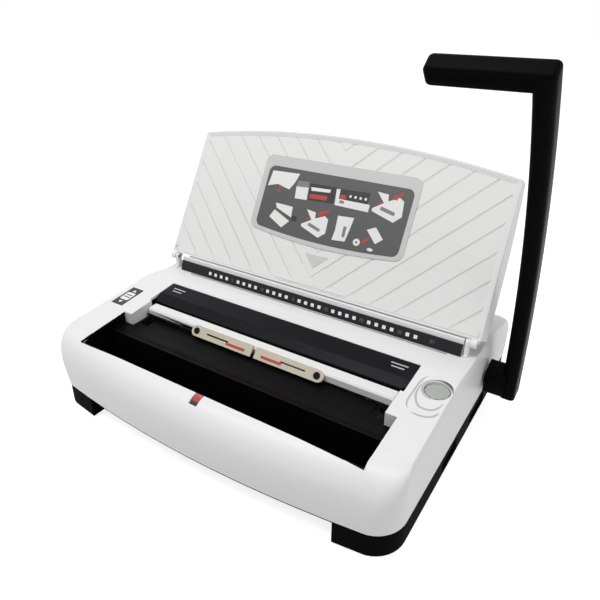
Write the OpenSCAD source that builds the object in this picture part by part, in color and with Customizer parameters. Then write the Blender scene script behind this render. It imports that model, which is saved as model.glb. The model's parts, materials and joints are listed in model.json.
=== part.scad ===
// Desk wire binding machine: a lever-driven row punch with a wire closer,
// a tilted hole scale, a folding cover that doubles as the paper rest, and a chip drawer.
// Frame: X to the machine's right, Y to its rear, Z up; origin on the table under the middle of the whole
// machine with its lever. The sizes below are measured from the body's own middle, frame_x to the right.

/* [Body] */
// Half width of the moulded body at its widest height
body_half_w = 197; // [190:1:215]
// Distance from the origin to the middle of the bowed front
body_front = 172; // [166:1:190]
// Distance from the origin to the rear face
body_rear = 172; // [155:1:190]
// Shift of the moulded body and the cover from the middle of the bay, to the left if negative
shell_x = -3; // [-5:0.5:0]
// Radius of the bow across the front
front_bow_r = 1250; // [900:10:3000]
// Radius of the front corners, seen from above
front_corner_r = 30; // [24:1:45]
// Radius of the rear corners, seen from above
rear_corner_r = 26; // [22:1:45]
// Wall thickness of the upper housing
wall = 3; // [2.5:0.1:3.5]
// Height of the deck at the paper slot and behind it
deck_z = 91; // [90.5:0.5:92.5]
// Height of the top at the rear edge of the beam panel
beam_z = 95; // [94:0.5:97]
// Height of the top edge at the rear face
rear_top_z = 66; // [58:1:72]
// Drop of the top towards the front, as millimetres per millimetre
deck_slope = 0.1035; // [0.07:0.0005:0.12]
// Height of the joint line between the upper housing and the base
joint_z = 26; // [24:0.5:28]

/* [Base] */
// Height of a rubber foot pad
pad_h = 2; // [1:0.1:3]
// Radius of a rubber foot pad
pad_r = 9; // [6:0.5:12]
// Half width of the arch between the front feet
arch_half_w = 143; // [110:1:150]
// Wall thickness of the base
base_wall = 3; // [2:0.1:4]
// Depth of the finger recesses in the sides of the base
grip_depth = 2; // [1:0.1:2.2]

/* [Binding bay] */
// Half width of the bay in front of the arm ends
bay_half_w = 161; // [156:0.5:163]
// Half width of the bay between the arm ends
arm_half_w = 150; // [149.5:0.5:153]
// Y of the bay's front edge
bay_front_y = -148; // [-150:0.5:-142]
// Y where the arms step inwards
arm_step_y = -89; // [-96:0.5:-85]
// Y of the crest between the bed and the trough
bed_front_y = -108; // [-114:0.5:-102]
// Height of the closing bed
bed_z = 75; // [73.5:0.5:76]
// Height of the trough floor
trough_z = 36; // [28:0.5:50]
// Wall thickness of the bay liner
liner_wall = 2; // [1.5:0.1:2.4]

/* [Punch row] */
// Number of holes that the punch makes
hole_count = 34; // [20:1:34]
// Distance from hole to hole
hole_pitch = 8.4667; // [8:0.0001:8.6]
// Side of a square punched hole
hole_side = 4; // [3:0.1:4.4]
// X of the middle of the row of holes
hole_mid_x = 8.35; // [0:0.05:9]
// Height of the row of holes
hole_z = 79; // [78:0.5:80]
// Distance from the sheet's lower edge to the middle of a hole
hole_margin = 5.5; // [4.5:0.1:6]
// Y of the middle of the paper slot
slot_y = 16.25; // [15.5:0.25:17]
// Width of the paper slot
slot_w = 2.5; // [1.5:0.1:3.5]
// Thickness of the die plate and of the punch guide plate
die_t = 6; // [5:0.5:7]
// Running clearance round a punch, each side
punch_clear = 0.1; // [0.05:0.01:0.2]
// Length of a return spring at rest
spring_len = 30; // [28:0.5:34]

/* [Drive] */
// Y of the drive shaft
shaft_y = 66; // [64:0.5:67]
// Height of the drive shaft
shaft_z = 51; // [50:0.5:51.5]
// Radius of the drive shaft
shaft_r = 8; // [6:0.1:8.5]
// Radial running clearance of the shaft and the hinge pins
run_clear = 0.05; // [0.02:0.01:0.09]
// Gear module of the pinions and racks
gear_m = 1.5; // [1.3:0.05:1.55]
// Number of teeth on a pinion
gear_teeth = 16; // [15:1:16]
// Lever travel from rest to the end of the stroke, in degrees
lever_travel = 65; // [50:1:66]

/* [Lever] */
// X of the inner face of the lever arm
arm_x = 212; // [211:0.5:220]
// Width of the lever arm across the machine
arm_w = 14.5; // [11:0.5:16]
// Depth of the lever arm at the shaft, along its swing
arm_low_d = 25; // [22:0.5:26]
// Depth of the lever arm at the grip, along its swing
arm_top_d = 16; // [12:0.5:20]
// Corner radius of the arm and grip section
arm_round = 4; // [2:0.5:5]
// Radius of the curve that the arm follows
arm_curve_r = 585; // [540:5:800]
// Length of the arm along its curve, from the shaft to the grip
arm_len = 328; // [290:1:335]
// Forward lean of the arm at the shaft, in degrees
arm_lean = 7.2; // [6:0.1:12]
// Rearward offset of the arm from the shaft
arm_offset = 3; // [0:0.5:4]
// Length of the grip from the arm's outer face
grip_len = 82; // [60:1:110]
// Thickness of the grip along the arm
grip_t = 16; // [11:0.5:18]
// Height of the hub block between body and arm
hub_h = 27; // [24:1:36]

/* [Cover] */
// Half width of the cover at its hinge
cover_half_w = 195; // [190:0.1:196]
// Half width of the cover at its free corners
cover_tip_half_w = 190; // [180:0.5:192]
// Length of the cover along its sides
cover_side_len = 158; // [140:0.5:160]
// Extra length of the arched free edge at the middle
cover_arch = 16.5; // [8:0.5:18]
// Backward lean of the open cover, in degrees
cover_lean = 29.7; // [25:0.1:32]
// Angle that the cover swings through to close, in degrees
cover_swing = 126.5; // [118:0.5:127]
// Depth of the cover at its hinge
cover_base_d = 30; // [20:0.5:32]
// Depth of the cover at its free edge
cover_tip_d = 12; // [9:0.5:14]
// Rise of the cover's crowned back over a straight line
cover_crown = 12; // [8:0.5:20]
// Wall thickness of the cover shell
cover_wall = 2.5; // [2:0.1:3]
// Distance between the chevron grooves, square to them
groove_step = 20; // [14:0.5:26]
// Y of the cover's hinge axis
hinge_y = 25; // [24.5:0.25:26]
// Height of the cover's hinge axis
hinge_z = 105; // [104.5:0.25:107]
// Radius of a hinge pin
hinge_pin_r = 2; // [1.6:0.1:2.4]

/* [Dial and drawer] */
// X of the wire size dial
dial_x = 178; // [176.5:0.5:178]
// Y of the wire size dial
dial_y = -44; // [-48:0.5:-42]
// Radius of the wire size dial
dial_r = 11; // [9:0.5:11]
// Distance that the chip drawer pulls out
drawer_travel = 180; // [100:5:200]
// Height of the chip drawer
drawer_h = 28; // [20:0.5:29]

/* [Hidden] */
$fn = 48;
// Small overlap that makes cuts run clear through a face
cut = 0.5;
// Gap between neighbouring pieces that don't slide on each other
gap = 0.3;
// Gap between pieces that slide past each other
slide_gap = 0.4;

// Bed of the base and the parts that stand on it
floor_z = 15;
floor_t = 3;
// Rear deck over the punch bar
rear_deck_y = 72;
deck_front_y = 11;
beam_rear_y = -20;
beam_front_y = -53;
// Stations along the straight sides of the plan outline
side_stations = [-0.59 * body_front, -0.35 * body_front, beam_rear_y, deck_front_y, rear_deck_y,
  0.65 * body_rear];

// Plates of the punch unit, from front to rear
die_front_y = slot_y - slot_w / 2 - die_t;
die_rear_y = slot_y - slot_w / 2;
guide_front_y = slot_y + slot_w / 2;
guide_rear_y = guide_front_y + die_t;
plate_low_z = 71;
plate_top_z = deck_z - wall - 1;
side_plate_x = 176;
side_plate_t = 3;
stop_z = hole_z - hole_margin;

// Punch bar, carried on two rods
bar_front_y = guide_rear_y + spring_len;
bar_d = 12;
bar_low_z = 70;
bar_h = 16;
bar_side_gap = 4;
bar_half_w = side_plate_x - bar_side_gap;
rod_inset = 6;
rod_x = bar_half_w - rod_inset;
rod_r = 3;
bush_r = 5;
pin_seat = 6;

// Gears: pitch radius, and heights of the rack's lines
pitch_r = gear_m * gear_teeth / 2;
gear_angle = 25;
addendum = 0.8 * gear_m;
dedendum = 1.1 * gear_m;
backlash = 0.25;
rack_pitch_z = shaft_z + pitch_r;
rack_root_z = rack_pitch_z + dedendum;
stroke = pitch_r * lever_travel * PI / 180;
gear_w = 8;
punch_gear_x = 156;
closer_gear_x = 140;
rack_front_y = shaft_y - 12;
rack_rear_y = shaft_y + stroke + 12;
closer_top_z = bar_low_z - 0.8;

// Closer
bar_clear = 2;
closer_bar_y = -55;
closer_bar_d = 12;
closer_bar_z = bed_z + bar_clear;
closer_bar_h = 9;
closer_half_w = arm_half_w - 2;
holder_tilt = 42;
holder_h = 12;
holder_t = 2;
holder_in = 2;
holder_out = 80;
finger_y = dial_y + 26;

// Chip drawer, in front of the die
drawer_front_y = die_front_y - 52;
drawer_rear_y = die_front_y - 3;
drawer_z = 30;
drawer_wall = 1.6;
drawer_side_gap = 26;
drawer_far_x = side_plate_x - drawer_side_gap;

// Cover
cover_panel_t = 3;
cover_rim = 1.2;
cover_face = 1.5;
cover_mid_len = cover_side_len + cover_arch;
cover_base_s = 4;
arch_r = (pow(cover_tip_half_w, 2) + pow(cover_arch, 2)) / (2 * cover_arch);
knuckle_w = 6;
knuckle_r = 4.2;
bracket_w = 4;
bracket_x = cover_half_w - cover_wall - knuckle_w - bracket_w - 2 * gap;

// Hole scale, kept clear of the nearer hinge bracket
scale_side_gap = 1.5;
scale_half_w = bracket_x - abs(shell_x) - scale_side_gap;
scale_h = 12;
scale_t = 1.2;
scale_tilt = 19.3;
scale_y = slot_y + slot_w / 2 + 3.5;
scale_z = deck_z + scale_h / 2 * cos(scale_tilt) + 0.2;
ledge_top_z = scale_z + scale_h / 2 * cos(scale_tilt) + 0.4;
// Rise of the ledge over the hinge axis, and how far its crest reaches in front of and behind that axis
ledge_rise = 2.4;
ledge_ahead = 1.6;
ledge_behind = 1.2;

// Dial
dial_z = 80;
dial_h = 11.5;
spindle_r = 3;
cam_r = 9;
cam_z = 65;
cam_h = 5;

// Outline and surface functions

// Height of the outer top surface at depth y
function top_z(y) =
  y < beam_rear_y ? beam_z - deck_slope * (beam_rear_y - y) :
  y < deck_front_y ? beam_z + (deck_z - beam_z) * (y - beam_rear_y) / (deck_front_y - beam_rear_y) :
  y < rear_deck_y ? deck_z :
  deck_z + (rear_top_z - deck_z) * (y - rear_deck_y) / (body_rear - rear_deck_y);

// Right half of the plan outline: bowed front, corner, side, rear corner
function half_plan(hw, front, rear, rc, rr) =
  let (sweep = asin((hw - rc) / (front_bow_r - rc)),
       bow_y = front_bow_r - front,
       corner_x = hw - rc,
       corner_y = bow_y - (front_bow_r - rc) * cos(sweep))
  concat(
    [for (i = [0 : 6]) let (a = sweep * i / 6) [front_bow_r * sin(a), bow_y - front_bow_r * cos(a)]],
    [for (i = [1 : 9]) let (a = sweep - 90 + (90 - sweep) * i / 9)
      [corner_x + rc * cos(a), corner_y + rc * sin(a)]],
    [for (y = side_stations) [hw, y]],
    [for (i = [0 : 7]) let (a = 90 * i / 7) [hw - rr + rr * cos(a), rear - rr + rr * sin(a)]]);

// Skin through a stack of mirrored half rings, closed by strips at the bottom, the top and the rear.
// The first point of a ring lies on the mid-plane and is shared by both halves.
module half_ring_loft(rings) {
  n = len(rings[0]);
  levels = len(rings);
  top = levels - 1;
  last = n - 1;
  points = concat(
    [for (r = rings) each r],
    [for (r = rings) each [for (i = [1 : last]) [-r[i][0], r[i][1], r[i][2]]]]);
  function right(k, i) = k * n + i;
  function left(k, i) = i == 0 ? right(k, i) : levels * n + k * last + i - 1;
  faces = concat(
    [for (k = [0 : top - 1], i = [0 : last - 1]) each [
      [right(k, i), right(k + 1, i), right(k + 1, i + 1)],
      [right(k, i), right(k + 1, i + 1), right(k, i + 1)],
      [left(k, i), left(k, i + 1), left(k + 1, i + 1)],
      [left(k, i), left(k + 1, i + 1), left(k + 1, i)]]],
    [for (k = [0 : top - 1]) each [
      [right(k, last), right(k + 1, last), left(k + 1, last)],
      [right(k, last), left(k + 1, last), left(k, last)]]],
    [[right(0, 0), right(0, 1), left(0, 1)], [right(top, 0), left(top, 1), right(top, 1)]],
    [for (i = [1 : last - 1]) each [
      [right(0, i), right(0, i + 1), left(0, i + 1)],
      [right(0, i), left(0, i + 1), left(0, i)],
      [right(top, i), left(top, i + 1), right(top, i + 1)],
      [right(top, i), left(top, i), left(top, i + 1)]]]);
  polyhedron(points, faces, convexity = 6);
}

// The same skin in the place of the moulded body
module shell_loft(rings) {
  translate([shell_x, 0, 0]) half_ring_loft(rings);
}

// Levels of the housing skin: share of the height, then inset of the sides, the front and the rear
housing_levels = [
  [0, 0.6, 0.8, 0.8], [0.09, 0.4, 0.5, 0.5], [0.2, 0.2, 0.2, 0.2], [0.34, 0, 0, 0],
  [0.5, 0, 0.3, 0.3], [0.64, 0, 1.4, 1.2], [0.74, 0.2, 3.2, 2.6], [0.82, 0.4, 5.6, 4.5],
  [0.88, 0.7, 8.1, 6.8], [0.93, 1.2, 11, 9.2], [0.97, 1.9, 14.6, 12.6], [1, 3, 19.5, 17]
];

function housing_rings(inset, low_z, drop) = [for (l = housing_levels)
  [for (p = half_plan(body_half_w - l[1] - inset, body_front - l[2] - inset, body_rear - l[3] - inset,
      front_corner_r - (l[1] + l[2]) / 2 - inset, rear_corner_r - (l[1] + l[3]) / 2 - inset))
    [p[0], p[1], low_z + l[0] * (top_z(p[1]) - drop - low_z)]]];

function base_ring(side, end, z) = [for (p = half_plan(body_half_w - side, body_front - end,
    body_rear - end, front_corner_r - (side + end) / 4, rear_corner_r - (side + end) / 4)) [p[0], p[1], z]];

// Building blocks

// Box between two corners
module span_box(low, high) {
  translate(low) cube(high - low);
}

// Outline in the Y-Z plane, drawn as [y, z], extruded along X between two planes
module side_extrude(x0, x1) {
  translate([x0, 0, 0]) rotate([90, 0, 90]) linear_extrude(x1 - x0) children();
}

// Round bar along X, along Y or along Z, from its low end
module x_rod(x0, x1, y, z, r) {
  translate([x0, y, z]) rotate([0, 90, 0]) cylinder(h = x1 - x0, r = r);
}

module y_rod(y0, y1, x, z, r) {
  translate([x, y0, z]) rotate([-90, 0, 0]) cylinder(h = y1 - y0, r = r);
}

// The same shape on both sides of the mid-plane
module both_sides() {
  children();
  mirror([1, 0, 0]) children();
}

function hole_x(i) = hole_mid_x + (i - (hole_count - 1) / 2) * hole_pitch;

// Square holes of one plate or bar, along Y
module hole_row(y0, y1, side) {
  for (i = [0 : hole_count - 1])
    span_box([hole_x(i) - side / 2, y0, hole_z - side / 2], [hole_x(i) + side / 2, y1, hole_z + side / 2]);
}

// Outline of a pinion with involute flanks, a tooth pointing along +Y
function involute(a) = tan(a) - a * PI / 180;
function half_tooth(r) = let (base = pitch_r * cos(gear_angle))
  ((gear_m * PI / 2 - backlash) / 2 / pitch_r + involute(gear_angle)
    - (r > base ? involute(acos(base / r)) : 0)) * 180 / PI;

module pinion_outline() {
  root_r = pitch_r - dedendum;
  base_r = pitch_r * cos(gear_angle);
  tip_r = pitch_r + addendum;
  radii = [root_r, base_r, (base_r + pitch_r) / 2, pitch_r, (pitch_r + tip_r) / 2, tip_r];
  flank = len(radii);
  polygon([for (t = [0 : gear_teeth - 1]) each concat(
    [for (k = [0 : flank - 1]) let (a = 90 - 360 * t / gear_teeth + half_tooth(radii[k]))
      radii[k] * [cos(a), sin(a)]],
    [for (k = [flank - 1 : -1 : 0]) let (a = 90 - 360 * t / gear_teeth - half_tooth(radii[k]))
      radii[k] * [cos(a), sin(a)]])]);
}

// Pair of pinions on the drive shaft
module pinion_pair(x) {
  both_sides() difference() {
    side_extrude(x - gear_w / 2, x + gear_w / 2) translate([shaft_y, shaft_z]) pinion_outline();
    x_rod(x - gear_w, x + gear_w, shaft_y, shaft_z, shaft_r);
  }
}

// Outline of a rack in the Y-Z plane, its teeth pointing down onto the pinion, with a gap over the shaft
module rack_outline(front_y, top_z) {
  tooth = gear_m * PI;
  root_half = (tooth / 2 - backlash) / 2 + dedendum * tan(gear_angle);
  tip_half = (tooth / 2 - backlash) / 2 - addendum * tan(gear_angle);
  polygon([[front_y, rack_root_z], [rack_rear_y, rack_root_z], [rack_rear_y, top_z], [front_y, top_z]]);
  for (y = [shaft_y - 1.5 * tooth : tooth : rack_rear_y - root_half])
    polygon([[y - root_half, rack_root_z + cut], [y - root_half, rack_root_z],
      [y - tip_half, rack_pitch_z - addendum], [y + tip_half, rack_pitch_z - addendum],
      [y + root_half, rack_root_z], [y + root_half, rack_root_z + cut]]);
}

// Base and feet

// Inset of the base from the body's widest outline: its ends at the floor and at the rim, then its sides
base_foot_inset = 1;
base_rim_inset = 1.5;
base_foot_side = 0.5;
base_rim_side = 1;
grip_skin = 0.2;
// Height of the rim that the arch leaves under the housing
arch_rim = 2;
pad_x = body_half_w - 28;
pad_front_inset = 36;
pad_front_y = -body_front + pad_front_inset;
pad_rear_y = body_rear - 26;
base_front_y = -body_front + 24;
boss_r = 6;
boss_screw_r = 1.8;
boss_places = [[172, -118], [172, 128], [-172, -118], [-172, 128]];
grip_spans = [[-46, -8], [34, 78]];
grip_low_z = 6;
grip_high_z = 19;

// Space inside the base, above its floor
module base_inside() {
  shell_loft([base_ring(base_foot_side + base_wall, base_foot_inset + base_wall, floor_z),
    base_ring(base_rim_side + base_wall, base_rim_inset + base_wall, joint_z + cut)]);
}

module base_tray() {
  color("#1c1c1e") difference() {
    union() {
      difference() {
        shell_loft([base_ring(base_foot_side, base_foot_inset, pad_h),
          base_ring(base_rim_side, base_rim_inset, joint_z)]);
        base_inside();
        // Hollow underside, leaving runners along the sides and feet at the front corners
        span_box([-arch_half_w, -body_front - cut, 0], [arch_half_w, body_rear - 30, floor_z - floor_t]);
        // Arch between the front feet, up to a narrow rim under the housing
        span_box([-arch_half_w, -body_front - cut, 0], [arch_half_w, base_front_y, joint_z - arch_rim]);
      }
      // Front wall behind the arch
      span_box([-arch_half_w - base_wall, base_front_y, floor_z - floor_t],
        [arch_half_w + base_wall, base_front_y + base_wall, joint_z]);
      // Runners under the chip drawer
      for (y = [drawer_front_y + 6, drawer_rear_y - 9])
        span_box([-body_half_w + 16, y, floor_z - cut], [drawer_far_x, y + 3, drawer_z - gap]);
      // Bosses that take the housing screws
      for (p = boss_places) translate([p[0], p[1], floor_z - cut])
        cylinder(h = joint_z - floor_z + cut, r = boss_r);
    }
    for (p = boss_places) translate([p[0], p[1], -cut]) {
      cylinder(h = joint_z + 2 * cut, r = boss_screw_r + run_clear);
      cylinder(h = floor_z - floor_t + cut, r = 2 * boss_screw_r + gap);
    }
    // Finger recesses along both sides
    translate([shell_x, 0, 0]) both_sides() for (y = grip_spans)
      span_box([body_half_w - base_rim_side - grip_depth + grip_skin, y[0], grip_low_z],
        [body_half_w, y[1], grip_high_z]);
    for (x = [-pad_x, pad_x], y = [pad_front_y, pad_rear_y])
      translate([x, y, 0]) cylinder(h = pad_h + 1, r = pad_r + run_clear);
  }
}

module foot_pads() {
  color("#2b2b2b") for (x = [-pad_x, pad_x], y = [pad_front_y, pad_rear_y])
    translate([x, y, 0]) cylinder(h = pad_h + 1, r = pad_r);
}

// Screws up through the base into the housing's posts
module housing_screws() {
  color("#8a8c90") for (p = boss_places) translate([p[0], p[1], 0]) {
    translate([0, 0, floor_z - floor_t - 2.4]) cylinder(h = 2.4, r = 2 * boss_screw_r);
    translate([0, 0, floor_z - floor_t])
      cylinder(h = joint_z + post_bore - 1 - floor_z + floor_t, r = boss_screw_r);
  }
}

// Upper housing

panel_half_w = 153;
panel_t = 2;
panel_bend_y = -42;
panel_seat = 3;
arm_skirt = 13;
post_bore = 11;
well_floor = 4;
well_wall = 2.5;
panel_drop = 5.2;
flange_out = 6;
slot_low_x = -160;
slot_high_x = 165;

// Height of the inner face of the top
function under_top(y) = top_z(y) - wall;

// Cover panel of the beam as an outline: flat part, bend, slope and front flange
module panel_outline(t) {
  polygon([[beam_rear_y, beam_z], [panel_bend_y, top_z(panel_bend_y)],
    [beam_front_y, top_z(panel_bend_y) - panel_drop], [beam_front_y, bed_z - 1],
    [beam_front_y + t, bed_z - 1], [beam_front_y + t, top_z(panel_bend_y) - panel_drop - t],
    [panel_bend_y, top_z(panel_bend_y) - t], [beam_rear_y, beam_z - t]]);
}

// Upstand behind the slot that carries the hole scale
module scale_ledge() {
  low_z = deck_z - wall;
  back_y = scale_y + 5;
  side_extrude(-scale_half_w, scale_half_w)
    polygon([[scale_y + (low_z - scale_z) * tan(scale_tilt), low_z],
      [scale_y + (ledge_top_z - scale_z) * tan(scale_tilt), ledge_top_z],
      [hinge_y - ledge_ahead, hinge_z + ledge_rise], [hinge_y + ledge_behind, hinge_z + ledge_rise],
      [back_y, ledge_top_z - 1.5], [back_y, low_z]]);
}

module housing_posts() {
  for (p = boss_places) translate([p[0], p[1], joint_z]) cylinder(h = 30, r = boss_r);
  for (p = boss_places) translate([p[0], p[1], joint_z + 30 - cut])
    cylinder(h = top_z(p[1]) - wall / 2 - joint_z - 30 + cut, r = boss_r - 1.5);
}

module top_housing() {
  color("#eeeeec") difference() {
    union() {
      difference() {
        shell_loft(housing_rings(0, joint_z, 0));
        shell_loft(housing_rings(wall, joint_z - cut, wall));
      }
      scale_ledge();
      housing_posts();
      // White skirts below the inner ends of the arms
      both_sides() side_extrude(arm_half_w, arm_half_w + 2)
        polygon([[arm_step_y, under_top(arm_step_y) - arm_skirt],
          [beam_front_y - 6, under_top(beam_front_y) - arm_skirt],
          [beam_front_y - 6, under_top(beam_front_y) + 1], [arm_step_y, under_top(arm_step_y) + 1]]);
      both_sides() span_box([arm_half_w, arm_step_y, under_top(arm_step_y) - arm_skirt],
        [bay_half_w + 2, arm_step_y + 2, under_top(arm_step_y) + 1]);
      // Well round the dial, kept inside the skin
      intersection() {
        translate([dial_x, dial_y, dial_z - well_floor])
          cylinder(h = top_z(dial_y) - wall / 2 - dial_z + well_floor, r = dial_r + well_wall);
        shell_loft(housing_rings(0, joint_z, 0));
      }
    }
    // Bay opening with the step in its sides
    linear_extrude(deck_z + 20) polygon([[-bay_half_w, bay_front_y], [bay_half_w, bay_front_y],
      [bay_half_w, arm_step_y], [arm_half_w, arm_step_y], [arm_half_w, beam_front_y + cut],
      [-arm_half_w, beam_front_y + cut], [-arm_half_w, arm_step_y], [-bay_half_w, arm_step_y]]);
    // Opening under the beam panel, and the rebate that the panel lies in
    span_box([-panel_half_w + panel_seat, beam_front_y - flange_out, bed_z],
      [panel_half_w - panel_seat, beam_rear_y - panel_seat, deck_z + 20]);
    side_extrude(-panel_half_w - gap, panel_half_w + gap)
      polygon([[beam_rear_y + gap, beam_z - panel_t], [panel_bend_y, top_z(panel_bend_y) - panel_t],
        [beam_front_y + panel_t, top_z(panel_bend_y) - panel_drop - panel_t],
        [beam_front_y - flange_out, top_z(panel_bend_y) - panel_drop - panel_t],
        [beam_front_y - flange_out, beam_z + 20], [beam_rear_y + gap, beam_z + 20]]);
    // Paper slot
    span_box([slot_low_x, die_rear_y, deck_z - 2 * wall], [slot_high_x, guide_front_y, deck_z + cut]);
    // Shaft hole on the lever side
    x_rod(side_plate_x, body_half_w + cut, shaft_y, shaft_z, shaft_r + 1);
    // Drawer mouth on the other side
    span_box([drawer_side_x - cut, drawer_front_y - 1, drawer_z - 1],
      [drawer_side_x + 20, drawer_rear_y + 1, drawer_z + drawer_h + 1]);
    // Dial well and the spindle hole in its floor
    translate([dial_x, dial_y, dial_z - gap]) cylinder(h = 40, r = dial_r + 0.8);
    translate([dial_x, dial_y, cam_z]) cylinder(h = 40, r = spindle_r + run_clear);
    // Seat of the cover catch in the front lip
    span_box([-catch_half_w - gap / 2, catch_front_y - gap, catch_low_z - gap],
      [catch_half_w + gap / 2, bay_front_y + cut, deck_z]);
    // Screw holes in the posts
    for (p = boss_places) translate([p[0], p[1], joint_z - cut])
      cylinder(h = post_bore + cut, r = boss_screw_r + run_clear);
  }
}

catch_half_w = 4.5;
catch_front_y = bay_front_y - 11;
catch_low_z = 70;

module lid_catch() {
  nose_z = top_z(bay_front_y) + 0.6;
  color("#b3242c") side_extrude(-catch_half_w, catch_half_w)
    polygon([[catch_front_y, catch_low_z], [catch_front_y, nose_z - 7.2], [catch_front_y + 4, nose_z - 3.6],
      [catch_front_y + 8, nose_z - 1.2], [bay_front_y - 1, nose_z], [bay_front_y + cut, nose_z - 1],
      [bay_front_y + cut, nose_z - 2.2], [bay_front_y - liner_wall - gap, nose_z - 2.2],
      [bay_front_y - liner_wall - gap, catch_low_z]]);
}

// Black tray that lines the bay: front wall, trough, crest and closing bed
lug_half_w = gear_w / 2 + 1.5;
leg_places = [bay_half_w / 4, bay_half_w * 3 / 4];
leg_w = 6;
leg_d = 20;

module bay_liner() {
  t = liner_wall;
  rear_y = beam_front_y - 3;
  lug_slot_y = closer_bar_y - closer_bar_d - stroke - 2;
  color("#151517") difference() {
    union() {
      // Walls, trough and crest, kept inside the housing's skin
      intersection() {
        union() {
          side_extrude(-bay_half_w - t, bay_half_w + t)
            polygon([[bay_front_y - t, trough_z - t], [bay_front_y - t, under_top(bay_front_y - t) - gap],
              [bay_front_y, under_top(bay_front_y) - gap], [bay_front_y, trough_z],
              [bed_front_y - t, trough_z], [bed_front_y - t, bed_z + 1.2], [bed_front_y, bed_z + 1.2],
              [bed_front_y + 1.5, bed_z], [arm_step_y - gap, bed_z], [arm_step_y - gap, bed_z - t],
              [bed_front_y, bed_z - t], [bed_front_y, trough_z - t]]);
          both_sides() side_extrude(bay_half_w, bay_half_w + t)
            polygon([[bay_front_y - t, trough_z - t], [bay_front_y - t, under_top(bay_front_y - t) - gap],
              [arm_step_y - gap, under_top(arm_step_y) - gap], [arm_step_y - gap, bed_z - t],
              [bed_front_y, bed_z - t], [bed_front_y, trough_z - t]]);
        }
        shell_loft(housing_rings(wall + gap, joint_z, wall + gap));
      }
      // Bed between the arms
      span_box([-arm_half_w + gap, arm_step_y - 1, bed_z - t],
        [arm_half_w - gap, closer_bar_y - closer_bar_d, bed_z]);
      // Legs that stand on the base floor
      both_sides() for (x = leg_places)
        span_box([x, bed_front_y - leg_d - 10, floor_z], [x + leg_w, bed_front_y - 10, trough_z - t / 2]);
    }
    both_sides() span_box([closer_gear_x - lug_half_w, lug_slot_y, bed_z - 3 * t],
      [closer_gear_x + lug_half_w, rear_y, bed_z + 3 * t]);
  }
}

module beam_cover() {
  color("#17181b") difference() {
    side_extrude(-panel_half_w, panel_half_w) panel_outline(panel_t);
    // Windows for the closer arms
    both_sides() span_box([closer_gear_x - lug_half_w, beam_front_y - cut, 0],
      [closer_gear_x + lug_half_w, beam_front_y + panel_t + cut, closer_top_z + 1]);
    // The flange clears the arm skirts
    both_sides() span_box([arm_half_w - gap, beam_front_y - cut, 0],
      [panel_half_w + cut, beam_front_y + panel_t + cut, under_top(beam_front_y)]);
  }
}

module scale_strip() {
  color("#111113") translate([0, scale_y, scale_z]) rotate([-scale_tilt, 0, 0])
    span_box([-scale_half_w, -scale_t, -scale_h / 2], [scale_half_w, 0, scale_h / 2]);
}

// Punch unit

module die_plate() {
  color("#8e9296") difference() {
    span_box([-side_plate_x, die_front_y, plate_low_z], [side_plate_x, die_rear_y, plate_top_z]);
    hole_row(die_front_y - cut, die_rear_y + cut, hole_side + 2 * punch_clear);
  }
}

module guide_plate() {
  color("#8e9296") difference() {
    span_box([-side_plate_x, guide_front_y, plate_low_z], [side_plate_x, guide_rear_y, plate_top_z]);
    hole_row(guide_front_y - cut, guide_rear_y + cut, hole_side + 2 * punch_clear);
    both_sides() y_rod(guide_rear_y - die_t / 2, guide_rear_y + cut, rod_x, hole_z, rod_r);
  }
}

module paper_stop() {
  color("#a9adb1") span_box([-side_plate_x, die_rear_y, plate_low_z], [side_plate_x, guide_front_y, stop_z]);
}

// Stop for the sheet's left edge, between the two plates
module edge_stop() {
  color("#303236") span_box([slot_low_x - 6, die_rear_y, stop_z],
    [slot_low_x + 2, guide_front_y, plate_top_z]);
}

// One steel side frame; x is its inner face on the right-hand side
module side_plate() {
  top_y = guide_rear_y + 14;
  rear_y = shaft_y + plate_rear;
  difference() {
    side_extrude(side_plate_x, side_plate_x + side_plate_t)
      polygon([[die_front_y - 1, floor_z], [rear_y, floor_z], [rear_y, bar_low_z - 4],
        [top_y + 22, plate_top_z], [die_front_y - 1, plate_top_z]]);
    x_rod(side_plate_x - cut, side_plate_x + side_plate_t + cut, shaft_y, shaft_z, bush_out_r);
    // Lightening hole
    x_rod(side_plate_x - cut, side_plate_x + side_plate_t + cut, shaft_y - 24, 2 * floor_z, 7);
  }
}

bush_out_r = shaft_r + 3;
plate_rear = 36;

module side_plate_left() {
  color("#9a9da1") mirror([1, 0, 0]) side_plate();
}

module side_plate_right() {
  color("#9a9da1") side_plate();
}

// Flanged bearing bushes of the drive shaft
module shaft_bushes() {
  color("#b08d4a") both_sides() difference() {
    union() {
      x_rod(side_plate_x - 2, side_plate_x, shaft_y, shaft_z, bush_out_r + 2);
      x_rod(side_plate_x - 2, side_plate_x + side_plate_t, shaft_y, shaft_z, bush_out_r);
    }
    x_rod(side_plate_x - 3, side_plate_x + side_plate_t + 1, shaft_y, shaft_z, shaft_r + run_clear);
  }
}

rod_end_y = bar_front_y + bar_d + 9;

module guide_rods() {
  color("#b9bcc0") both_sides() difference() {
    y_rod(guide_rear_y - die_t / 2, rod_end_y, rod_x, hole_z, rod_r);
    // Groove for the retaining clip
    difference() {
      y_rod(rod_end_y - 3, rod_end_y - 2, rod_x, hole_z, rod_r + 1);
      y_rod(rod_end_y - 4, rod_end_y - 1, rod_x, hole_z, rod_r - 0.6);
    }
  }
}

module rod_clips() {
  color("#6f7276") both_sides() difference() {
    y_rod(rod_end_y - 3, rod_end_y - 2, rod_x, hole_z, rod_r + 2.4);
    y_rod(rod_end_y - 4, rod_end_y - 1, rod_x, hole_z, rod_r - 0.6);
    span_box([rod_x - 1.6, rod_end_y - 4, hole_z - 10], [rod_x + 1.6, rod_end_y, hole_z]);
  }
}

// Compression spring round a guide rod, as one swept wire
spring_wire_r = 0.6;
spring_r = rod_r + 1.6;
spring_turns = 8;
spring_sides = 6;
spring_steps = 8;

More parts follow.
